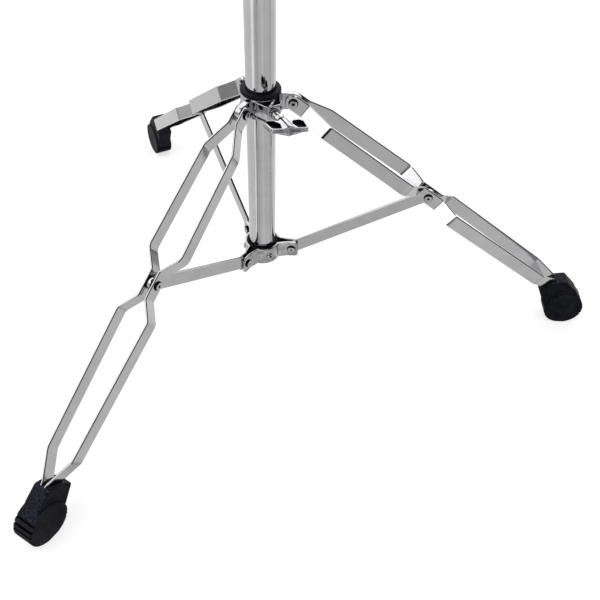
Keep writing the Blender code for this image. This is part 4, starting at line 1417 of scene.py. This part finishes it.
@dataclass
class WingScrew:
    """Clamp screw and its cast wing grip, made along +X and then turned to azimuth.

    Places along the screw are distances from the tube's axis. turn is the grip's turn about
    the screw in degrees.
    """

    azimuth: float = -60.0
    turn: float = -12.0
    screw_radius: float = 0.0040
    screw_start: float = 0.0186
    stem_start: float = 0.0425
    stem_radius: float = 0.0052
    boss_radius: float = 0.0062
    back: float = 0.0495
    front: float = 0.0682
    span: float = 0.0470
    thickness: float = 0.0050
    rise: float = 0.0008
    pocket_depth: float = 0.0036
    rim: float = 0.0017
    edge: float = 0.0007
    apron_depth: float = 0.0022
    apron_edge: float = 0.0006
    core: float = 0.0004
    overlap: float = 0.010
    thread_from: float = 0.0045
    thread_short: float = 0.0012
    pitch: float = 0.00125
    ridge: float = 0.0003

    def low(self) -> float:
        """Height of the wings' underside over the screw's axis."""
        return self.rise - self.thickness / 2

    def high(self) -> float:
        """Height of the wings' top over the screw's axis."""
        return self.rise + self.thickness / 2

    def outline(self, pocket: bool) -> list[Vector]:
        """Plan of one wing or of its pocket, as (along the screw, across) points.

        Args:
            pocket: True for the pocket.

        Returns:
            The outline with its corners rounded.
        """
        corners = [(0.22, 0.0), (0.06, 0.40), (0.0, 0.86), (0.20, 1.0), (0.92, 0.93), (1.0, 0.84), (1.0, 0.0)]
        radii = [0.0, 0.006, 0.0025, 0.003, 0.001, 0.001, 0.0]
        drawn = 0.0
        if pocket:
            corners = [(0.42, 0.31), (0.04, 0.50), (0.0, 0.86), (0.20, 1.0), (0.92, 0.93), (1.0, 0.84), (1.0, 0.42)]
            radii = [0.0010, 0.0010, 0.0012, 0.0015, 0.0008, 0.0008, 0.0010]
            drawn = self.rim
        depth = self.front - self.back - 2 * drawn
        reach = self.span / 2 - drawn
        points = [(self.back + drawn + along * depth, across * reach) for along, across in corners]
        return soft_path(points, radii)

    def wing(self, side: Side) -> bpy.types.Mesh:
        """One wing with its pocket, whose faces carry painted shade; the two wings mirror each other across the
        screw.

        Args:
            side: Which wing.

        Returns:
            The closed mesh.
        """
        top = self.high()
        plate = upright_prism("wing", self.outline(False), self.low(), top, self.edge)
        hollow = self.outline(True)
        rings = []
        for up, drawn in ((top - self.pocket_depth, 0.0007), (top - 0.0003, 0.0), (top + 0.004, -0.0012)):
            rings.append([(point.x, point.y, up) for point in inset(hollow, drawn)])
        # The pocket's faces take the painted shade.
        plate = carved(plate, [skin("pocket", rings)])
        return moved(plate, MIRROR_Y) if side is Side.RIGHT else plate

    def apron(self) -> bpy.types.Mesh:
        """Front face of the grip: taller in the middle, with a scalloped lower edge.

        Returns:
            The closed mesh.
        """
        low = self.low()
        high = self.high()
        reach = self.span / 2
        corners = [
            (-reach * 0.93, low), (-reach * 0.62, low - 0.0002), (-reach * 0.36, low - 0.0022), (0.0, low - 0.0036),
            (reach * 0.36, low - 0.0022), (reach * 0.62, low - 0.0002), (reach * 0.93, low),
            (reach * 0.88, high), (reach * 0.35, high), (0.0, high + 0.0024), (-reach * 0.35, high),
            (-reach * 0.88, high),
        ]
        radii = [0.0012, 0.004, 0.004, 0.006, 0.004, 0.004, 0.0012, 0.0008, 0.005, 0.006, 0.005, 0.0008]
        outline = soft_path(corners, radii)
        face = bevelled_prism("apron", outline, self.front - self.apron_depth, self.front, self.apron_edge)
        return moved(face, SWAP_XY)

    def thread(self) -> bpy.types.Mesh:
        """Clamp screw along +Z with its thread as fine ridges.

        Returns:
            The closed mesh.
        """
        radius = self.screw_radius
        screw_end = self.stem_start + self.overlap
        start = self.screw_start
        profile = [(self.core, start), (radius * 0.75, start), (radius, start + 0.001)]
        radii = [0.0, 0.0, 0.0]
        along = start + self.thread_from
        while along < self.stem_start - self.thread_short:
            profile += [(radius, along), (radius - self.ridge, along + self.pitch / 2)]
            radii += [0.0001, 0.0001]
            along += self.pitch
        profile += [(radius, screw_end), (self.core, screw_end)]
        return lathe("screw", profile, radii + [0.0, 0.0], steps=48, loop=False)

    def build(self, shop: Workshop) -> None:
        """Makes the screw and the grip.

        Args:
            shop: Dresses the meshes.
        """
        place = radial_frame(math.radians(self.azimuth), 0.0, HUB_HEIGHT)
        place = place @ Matrix.Rotation(math.radians(self.turn), 4, "X")
        shop.add("screw_dressed", moved(self.thread(), place @ ALONG_X), Slot.FASTENER, "wing_screw", "clamp_screw")
        boss = self.boss_radius
        stem = self.stem_radius
        profile = [
            (self.core, self.front), (boss * 0.9, self.front), (boss, self.front - self.rim),
            (boss, self.back + self.rim), (stem, self.back - self.rim), (stem * 1.12, self.stem_start + 0.0012),
            (stem * 1.12, self.stem_start), (self.core, self.stem_start),
        ]
        radii = [0.0, 0.0012, 0.0012, 0.003, 0.002, 0.0008, 0.0006, 0.0]
        hub = lathe("grip", profile, radii, steps=64, loop=False)
        parts = [moved(hub, ALONG_X), self.wing(Side.LEFT), self.wing(Side.RIGHT), self.apron()]
        shop.add("wing_grip_dressed", moved(joined("grip", parts), place), Slot.CAST, "wing_screw", "wing_grip")


@dataclass
class Leg:
    """One leg: two bent strips, its mid rivet and washers, and its rubber foot."""

    index: int
    seat: float
    length: float = 0.438
    to_mid: float = 0.196
    width: float = 0.0172
    hub_tab: float = 0.0159
    hub_run: float = 0.030
    mid_above: float = 0.0136
    mid_below: float = 0.0173
    mid_run: float = 0.020
    foot_tab: float = 0.020
    foot_run: float = 0.032
    foot_inner: float = 0.0014
    upper_top: float = 0.0382
    upper_end: float = 0.0430
    lower_top: float = 0.0414
    lower_end: float = 0.0350
    bends: tuple[float, ...] = (0.006, 0.0105, 0.012, 0.0065, 0.0065, 0.0075, 0.013, 0.013)
    edge: float = 0.00082
    washer_bore: float = 0.0033
    washer_radius: float = 0.0065
    washer_thickness: float = 0.0014
    washer_edge: float = 0.0003
    rivet: Rivet = Rivet(dimple=0.0016)

    def number(self) -> int:
        """Number of the leg in the part's names."""
        return self.index + 1

    def frame(self) -> Matrix:
        """The leg's frame: X along the leg from its hub pivot, Z across the strips."""
        return radial_frame(self.index * LEG_STEP, HUB_PIVOT_RADIUS, HUB_HEIGHT, LEG_SLOPE)

    def strip(self, side: Side) -> bpy.types.Mesh:
        """One strip, bent out and in between its tabs.

        Args:
            side: Which strip.

        Returns:
            The strip's mesh in the stand's frame.
        """
        half = self.width / 2
        widths = (self.upper_top, self.upper_end, self.lower_top, self.lower_end)
        upper_top, upper_end, lower_top, lower_end = [width / 2 - STRIP_THICKNESS for width in widths]
        start = self.to_mid - self.mid_above
        end = self.to_mid + self.mid_below
        foot = self.length - self.foot_tab
        corners = [
            (0.0, TAB_INNER), (self.hub_tab, TAB_INNER), (self.hub_tab + self.hub_run, upper_top),
            (start - self.mid_run, upper_end), (start, TAB_INNER), (end, TAB_INNER), (end + self.mid_run, lower_top),
            (foot - self.foot_run, lower_end), (foot, self.foot_inner), (self.length, self.foot_inner),
        ]
        tip = [(Vector((-back, TAB_INNER)), width) for back, width in round_tip(half, half, 10)]
        bends = soft_path(corners, [0.0, *self.bends, 0.0], 8, closed=False)
        path = tip + [(point, half) for point in bends]
        mesh = strip_sweep("strip", path, STRIP_THICKNESS, STRIP_THICKNESS / 2, self.edge)
        if side is Side.RIGHT:
            mesh = moved(mesh, MIRROR_Y)
        return moved(mesh, self.frame())

    def build(self, shop: Workshop) -> None:
        """Makes the leg's pieces.

        Args:
            shop: Dresses the meshes.
        """
        number = self.number()
        body = f"leg_{number}"
        mid = self.frame() @ Matrix.Translation((self.to_mid, 0.0, 0.0))
        high = TAB_INNER - GAP
        low = high - self.washer_thickness
        rim = self.washer_radius
        for side in Side:
            name = f"leg_{number}_{side.name.lower()}"
            out = mid @ side.outwards()
            shop.add(f"{name}_bar", self.strip(side), Slot.STRIP, body, f"{name}_strip")
            pin = joined("pin", [self.rivet.head(TAB_OUTER + GAP / 2), self.rivet.shank(low, TAB_OUTER)])
            shop.add(f"{name}_pin", moved(pin, out), Slot.FASTENER, body, f"{name}_rivet")
            profile = [(self.washer_bore, low), (self.washer_bore, high), (rim, high), (rim, low)]
            washer = lathe("washer", profile, [0.0, 0.0, self.washer_edge, self.washer_edge], steps=48)
            shop.add(f"{name}_spacer", moved(washer, out), Slot.PLASTIC, body, f"{name}_washer")
        Foot(self, self.seat).build(shop)


@dataclass
class Foot:
    """Rubber foot with a round tread pad and a sleeve over the strips' ends.

    Side views are (x, z) points from the pad's centre, and turns round it are in degrees.
    A foot that is turned on its strips by more than turned_from has its own top corners.
    """

    leg: Leg
    seat: float
    radius: float = 0.02438
    pad_width: float = 0.024
    pad_edge: float = 0.0009
    pad_steps: int = 56
    block_width: float = 0.020
    block_edge: float = 0.0022
    block_start: float = 22.0
    block_end: float = -176.0
    flat: float = 0.0110
    past_strips: float = 0.0188
    under_leg: float = 0.0163
    top: tuple[Flat, ...] = ((-0.0410, 0.0305), (-0.0275, 0.0425), (-0.0090, 0.0463), (0.0080, 0.0300))
    top_turned: tuple[Flat, ...] = ((-0.0395, 0.0215), (-0.0295, 0.0345), (-0.0135, 0.0420), (0.0025, 0.0305))
    top_radii: tuple[float, ...] = (0.0015, 0.0018, 0.0030, 0.006)
    turned_from: float = 5.0
    grooves_at: tuple[Flat, ...] = (
        (51.0, 0.0246), (34.0, 0.0238), (18.0, 0.0245), (2.0, 0.0245), (-14.0, 0.0245), (-150.0, 0.0245),
        (-163.0, 0.0245),
    )
    groove_depth: float = 0.0020
    groove_width: float = 0.0025

    def corners(self) -> list[Vector]:
        """Top corners of the sleeve, turned by the foot's seat on the strips.

        Returns:
            The corners, from the leg's side outwards.
        """
        if self.seat > self.turned_from:
            return [Vector(corner) for corner in self.top_turned]
        turn = Matrix.Rotation(math.radians(self.seat), 2)
        return [turn @ Vector(corner) for corner in self.top]

    def half_flat(self) -> float:
        """Half of the turn in radians that the flat tread takes up."""
        return math.asin(self.flat / 2 / self.radius)

    def block_outline(self) -> list[Vector]:
        """Side view of the foot's body.

        Returns:
            The outline with its top corners rounded.
        """
        flat = self.half_flat()
        right = spread(math.radians(self.block_start), -math.pi / 2 + flat, 14)
        left = spread(-math.pi / 2 - flat, math.radians(self.block_end), 12)
        arc = on_circle(right + left, self.radius)
        return soft_path(self.corners() + arc, [*self.top_radii] + [0.0] * len(arc))

    def pad_outline(self) -> list[Vector]:
        """Side view of the round pad with its flat tread.

        Returns:
            The outline.
        """
        flat = self.half_flat()
        start = -math.pi / 2 + flat
        sweep = 2 * math.pi - 2 * flat
        turns = [start + sweep * step / self.pad_steps for step in range(self.pad_steps + 1)]
        return on_circle(turns, self.radius)

    def grooves(self) -> list[bpy.types.Mesh]:
        """Cutters for the tread grooves across the pad; the faces they leave carry painted shade.

        Returns:
            One cutter for each groove.
        """
        half = self.groove_width / 2
        cutters = []
        for degrees, radius in self.grooves_at:
            floor = radius - self.groove_depth
            past = radius + 0.003
            ring = [(floor, -half * 0.6), (past, -half * 1.8), (past, half * 1.8), (floor, half * 0.6)]
            cutters.append(moved(plank("groove", ring, CLEAR), Matrix.Rotation(-math.radians(degrees), 4, "Y")))
        return cutters

    def slots(self) -> list[bpy.types.Mesh]:
        """Openings for the two strips' ends, in the leg's frame, with a web of rubber between them.

        Returns:
            One cutter for each strip.
        """
        leg = self.leg
        half = leg.width / 2 + GAP
        start = leg.length - leg.foot_tab + STRIP_THICKNESS / 2
        end = leg.length + GAP
        outside = leg.foot_inner + STRIP_THICKNESS + GAP
        inside = leg.foot_inner - 2 * GAP
        wide = leg.lower_end / 2
        outline = [
            (start - leg.foot_run, wide + GAP), (start, outside), (end, outside), (end, inside),
            (start - 2 * GAP, inside), (start - leg.foot_run, wide - STRIP_THICKNESS - 2 * GAP),
        ]
        cutters = []
        for side in Side:
            ring = [(along, side.value * across) for along, across in outline]
            cutters.append(post("slot", ring, -half, half))
        return cutters

    def build(self, shop: Workshop) -> None:
        """Makes the foot.

        Args:
            shop: Dresses the meshes.
        """
        place = Matrix.Translation((self.leg.length + self.past_strips, 0.0, -self.under_leg))
        place = place @ Matrix.Rotation(-LEG_SLOPE, 4, "Y")
        block_half = self.block_width / 2
        pad_half = self.pad_width / 2
        block = bevelled_prism("block", self.block_outline(), -block_half, block_half, self.block_edge, 4)
        pad = bevelled_prism("pad", self.pad_outline(), -pad_half, pad_half, self.pad_edge)
        slots = [moved(slot, place.inverted()) for slot in self.slots()]
        # The grooves' faces take the painted shade; the strip slots keep the rubber.
        mesh = moved(carved(block, self.grooves(), union=[pad], plated=slots), self.leg.frame() @ place)
        body = f"leg_{self.leg.number()}"
        shop.add(f"{body}_shoe", mesh, Slot.RUBBER, body, f"{body}_foot", sharp=50.0)


@dataclass
class Brace:
    """Flat brace from the lower hub to a leg's mid rivet."""

    index: int
    length: float = 0.181
    width: float = 0.0158
    edge: float = 0.0004

    def build(self, shop: Workshop) -> None:
        """Makes the brace.

        Args:
            shop: Dresses the meshes.
        """
        half = self.width / 2
        tip = round_tip(half, half, 10)
        path = [(Vector((-back, 0.0)), width) for back, width in tip]
        path += [(Vector((0.0, 0.0)), half), (Vector((self.length, 0.0)), half)]
        path += [(Vector((self.length + back, 0.0)), width) for back, width in reversed(tip)]
        mesh = strip_sweep("brace", path, BRACE_THICKNESS, 0.0, self.edge)
        number = self.index + 1
        frame = radial_frame(self.index * LEG_STEP, LOWER_PIVOT_RADIUS, LOWER_HEIGHT, -BRACE_SLOPE)
        shop.add(f"brace_{number}_bar", moved(mesh, frame), Slot.STRIP, f"brace_{number}", f"brace_{number}")


@dataclass
class Studio:
    """Pale floor, soft light and the photograph's camera.

    What polished faces see is given by direction from the stand. ground, horizon and
    ceiling_start are (azimuth in degrees, value) rows with 0 towards the camera: the first two
    give brightness below and above the level, and the last gives the height at which the ceiling
    starts. A card is (azimuth from, to, height from, to, brightness), and heights are the
    direction's Z. turn and roll set the camera's level line, in radians.
    """

    focal: float = 735.68
    frame_width: float = 600.0
    sensor: float = 36.0
    eye: tuple[float, float, float] = (0.0578, -0.6908, 0.7124)
    forward: tuple[float, float, float] = (-0.0082, 0.6987, -0.7154)
    turn: float = 0.0117
    roll: float = 0.0396
    sky: float = 0.85
    ceiling: float = 2.2
    ceiling_soft: float = 0.10
    level: Flat = (-0.10, 0.02)
    card_soft: Flat = (1.5, 0.015)
    floor_half: float = 6.0
    floor_tone: float = 0.80
    floor_seen: float = 0.42
    floor_glow: float = 0.66
    aim: tuple[float, float, float] = (0.0, 0.0, 0.2)
    ground: tuple[Flat, ...] = (
        (-180.0, 0.92), (-90.0, 0.95), (-64.0, 0.95), (-57.0, 1.5), (-46.0, 1.35), (-34.0, 0.70), (-14.0, 0.66),
        (-6.0, 0.80), (8.0, 0.80), (20.0, 0.95), (32.0, 0.80), (76.0, 0.82), (81.0, 0.35), (86.0, 0.88),
        (115.0, 0.94), (142.0, 1.05), (155.0, 0.95), (180.0, 0.92),
    )
    horizon: tuple[Flat, ...] = (
        (-180.0, 2.2), (-128.0, 2.2), (-112.0, 0.9), (-80.0, 0.5), (-62.0, 0.8), (-56.0, 0.05), (104.0, 0.05),
        (117.0, 0.5), (132.0, 1.3), (160.0, 1.3), (180.0, 2.2),
    )
    ceiling_start: tuple[Flat, ...] = (
        (-180.0, 0.10), (-120.0, 0.15), (-85.0, 0.38), (-50.0, 0.46), (-15.0, 0.68), (60.0, 0.68), (84.0, 0.80),
        (104.0, 0.80), (120.0, 0.30), (180.0, 0.10),
    )
    cards: tuple[tuple[float, float, float, float, float], ...] = (
        (-57.0, -29.0, -0.20, 0.30, 2.6),
        (-32.0, -25.5, -0.240, -0.155, 0.01),
        (-28.0, -20.5, -0.295, -0.205, 0.01),
        (-23.5, -16.0, -0.350, -0.262, 0.01),
        (-19.0, -11.0, -0.395, -0.318, 0.01),
        (-57.0, -53.5, -0.80, -0.52, 0.15),
        (-112.0, -74.0, -0.30, -0.02, 0.42),
        (-151.0, -141.0, 0.28, 0.48, 1.25),
        (-50.4, -48.9, 0.045, 0.075, 0.30),
        (105.0, 117.0, -0.73, -0.64, 0.80),
        (-181.0, 181.0, 0.87, 1.2, 0.04),
    )

    def camera(self) -> None:
        """Sets the camera at the photograph's place."""
        forward = Vector(self.forward).normalized()
        right = Vector((math.cos(self.turn), math.sin(self.turn), 0.0))
        right = (right - forward * right.dot(forward)).normalized()
        up = right.cross(forward)
        side = math.cos(self.roll) * right + math.sin(self.roll) * up
        top = -math.sin(self.roll) * right + math.cos(self.roll) * up
        data = bpy.data.cameras.new("camera")
        data.sensor_width = self.sensor
        data.lens = self.focal * self.sensor / self.frame_width
        data.clip_start = 0.01
        data.clip_end = 50.0
        camera = bpy.data.objects.new("camera", data)
        bpy.context.scene.collection.objects.link(camera)
        place = Vector((self.eye[0] + STAND_X, self.eye[1], self.eye[2]))
        camera.matrix_world = Matrix.Translation(place) @ Matrix((side, top, -forward)).transposed().to_4x4()
        bpy.context.scene.camera = camera

    def world(self) -> None:
        """Lights the room: plain for matt surfaces, and patterned by direction for polished ones."""
        world = bpy.data.worlds.new("studio")
        world.use_nodes = True
        bpy.context.scene.world = world
        tree = world.node_tree
        tree.nodes.clear()
        out = tree.nodes.new("ShaderNodeOutputWorld")
        path = tree.nodes.new("ShaderNodeLightPath")
        plain = self.background(tree, self.sky)
        polished = self.background(tree, 1.0)
        tree.links.new(self.reflected(tree), polished.inputs["Strength"])
        seen = self.background(tree, 1.0)
        first = tree.nodes.new("ShaderNodeMixShader")
        tree.links.new(path.outputs["Is Glossy Ray"], first.inputs["Fac"])
        tree.links.new(plain.outputs["Background"], first.inputs[1])
        tree.links.new(polished.outputs["Background"], first.inputs[2])
        second = tree.nodes.new("ShaderNodeMixShader")
        tree.links.new(path.outputs["Is Camera Ray"], second.inputs["Fac"])
        tree.links.new(first.outputs["Shader"], second.inputs[1])
        tree.links.new(seen.outputs["Background"], second.inputs[2])
        tree.links.new(second.outputs["Shader"], out.inputs["Surface"])

    def background(self, tree: bpy.types.NodeTree, strength: float) -> bpy.types.Node:
        """Adds a white background.

        Args:
            tree: Tree to add to.
            strength: Its strength.

        Returns:
            The background's node.
        """
        node = tree.nodes.new("ShaderNodeBackground")
        node.inputs["Color"].default_value = (1.0, 1.0, 1.0, 1.0)
        node.inputs["Strength"].default_value = strength
        return node

    def ramp(self, tree: bpy.types.NodeTree, share: object, stops: Sequence[Flat]) -> bpy.types.NodeSocket:
        """Reads a value off a row of stops round the stand.

        Args:
            tree: Tree to add to.
            share: Socket with the azimuth as a share of the full turn, 0.5 at 0 degrees.
            stops: Azimuth in degrees and value of each stop.

        Returns:
            The value's socket.
        """
        node = tree.nodes.new("ShaderNodeValToRGB")
        elements = node.color_ramp.elements
        while len(elements) < len(stops):
            elements.new(0.5)
        for element, (azimuth, level) in zip(elements, stops):
            element.position = 0.5 + azimuth / 360.0
            element.color = (level, level, level, 1.0)
        tree.links.new(share, node.inputs["Fac"])
        return node.outputs["Color"]

    def window(
        self,
        tree: bpy.types.NodeTree,
        value: object,
        low: float,
        high: float,
        soft: float,
    ) -> bpy.types.NodeSocket:
        """Mask that is 1 between two values and falls off softly outside them.

        Args:
            tree: Tree to add to.
            value: Socket to compare.
            low: Lower edge.
            high: Upper edge.
            soft: Half width of each soft edge.

        Returns:
            The mask's socket.
        """
        rise = ranged(tree, value, low - soft, low + soft, soft=True)
        fall = ranged(tree, value, high + soft, high - soft, soft=True)
        return calculated(tree, "MULTIPLY", rise, fall)

    def reflected(self, tree: bpy.types.NodeTree) -> bpy.types.NodeSocket:
        """Brightness that polished faces see in each direction.

        Args:
            tree: The world's node tree.

        Returns:
            The brightness socket.
        """
        direction = tree.nodes.new("ShaderNodeTexCoord").outputs["Generated"]
        split = tree.nodes.new("ShaderNodeSeparateXYZ")
        tree.links.new(direction, split.inputs["Vector"])
        high = split.outputs["Z"]
        front = calculated(tree, "MULTIPLY", split.outputs["Y"], -1.0)
        turn = calculated(tree, "ARCTAN2", split.outputs["X"], front)
        share = calculated(tree, "MULTIPLY_ADD", turn, 0.5 / math.pi, 0.5)
        degrees = calculated(tree, "MULTIPLY", turn, 180.0 / math.pi)
        above = ranged(tree, high, *self.level, soft=True)
        lower = self.ramp(tree, share, self.ground)
        upper = self.ramp(tree, share, self.horizon)
        light = mixed(tree, Blend.LEVEL, above, lower, upper)
        over_lid = calculated(tree, "SUBTRACT", high, self.ramp(tree, share, self.ceiling_start))
        lid = ranged(tree, over_lid, 0.0, self.ceiling_soft, soft=True)
        light = mixed(tree, Blend.LEVEL, lid, light, self.ceiling)
        soft_turn, soft_height = self.card_soft
        for start, end, bottom, top, level in self.cards:
            across = self.window(tree, degrees, start, end, soft_turn)
            upright = self.window(tree, high, bottom, top, soft_height)
            card = calculated(tree, "MULTIPLY", across, upright)
            light = mixed(tree, Blend.LEVEL, card, light, level)
        return light

    def floor(self) -> None:
        """Lays a white floor that keeps a soft shadow."""
        mesh = bpy.data.meshes.new("floor")
        half = self.floor_half
        corners = [(-half, -half, 0.0), (half, -half, 0.0), (half, half, 0.0), (-half, half, 0.0)]
        mesh.from_pydata(corners, [], [(0, 1, 2, 3)])
        floor = bpy.data.objects.new("floor", mesh)
        bpy.context.scene.collection.objects.link(floor)
        paint = bpy.data.materials.new("floor_white")
        paint.use_nodes = True
        tree = paint.node_tree
        tree.nodes.clear()
        out = tree.nodes.new("ShaderNodeOutputMaterial")
        path = tree.nodes.new("ShaderNodeLightPath")
        matt = tree.nodes.new("ShaderNodeBsdfDiffuse")
        matt.inputs["Color"].default_value = (self.floor_tone, self.floor_tone, self.floor_tone, 1.0)
        seen_matt = tree.nodes.new("ShaderNodeBsdfDiffuse")
        seen_matt.inputs["Color"].default_value = (self.floor_seen, self.floor_seen, self.floor_seen, 1.0)
        glow = tree.nodes.new("ShaderNodeEmission")
        glow.inputs["Strength"].default_value = self.floor_glow
        seen = tree.nodes.new("ShaderNodeAddShader")
        tree.links.new(seen_matt.outputs["BSDF"], seen.inputs[0])
        tree.links.new(glow.outputs["Emission"], seen.inputs[1])
        for_camera = tree.nodes.new("ShaderNodeMixShader")
        tree.links.new(path.outputs["Is Camera Ray"], for_camera.inputs["Fac"])
        tree.links.new(matt.outputs["BSDF"], for_camera.inputs[1])
        tree.links.new(seen.outputs["Shader"], for_camera.inputs[2])
        tree.links.new(for_camera.outputs["Shader"], out.inputs["Surface"])
        floor.visible_glossy = False
        mesh.materials.append(paint)

    def lamp(self, name: str, place: tuple[float, float, float], size: float, power: float) -> None:
        """Hangs one soft lamp aimed at the stand.

        Args:
            name: Name of the lamp.
            place: Where it hangs.
            size: Side of its square.
            power: Its power in watts.
        """
        data = bpy.data.lights.new(name, "AREA")
        data.size = size
        data.energy = power
        lamp = bpy.data.objects.new(name, data)
        bpy.context.scene.collection.objects.link(lamp)
        lamp.location = place
        aim = Vector(self.aim) - Vector(place)
        lamp.rotation_mode = "QUATERNION"
        lamp.rotation_quaternion = aim.to_track_quat("-Z", "Y")
        lamp.visible_glossy = False

    def build(self) -> None:
        """Sets the camera, the light and the floor."""
        self.camera()
        self.world()
        self.floor()
        self.lamp("key_lamp", (-1.2, -0.6, 2.2), 1.4, 14.0)
        self.lamp("back_lamp", (0.9, 1.6, 2.0), 1.2, 8.0)
        bpy.context.scene.view_settings.view_transform = "Standard"


def main() -> None:
    """Builds the dressed stand over its frame."""
    logging.basicConfig(level=logging.INFO, format="%(name)s: %(message)s")
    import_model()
    studio = Studio()
    studio.build()
    shop = Workshop()
    BaseTube().build(shop)
    LowerHub().build(shop)
    LegHub().build(shop)
    WingScrew().build(shop)
    for index, seat in enumerate(FOOT_SEATS):
        Leg(index, seat).build(shop)
        Brace(index).build(shop)
    LOG.info("%d pieces made", len(shop.made))


if __name__ == "__main__":
    main()
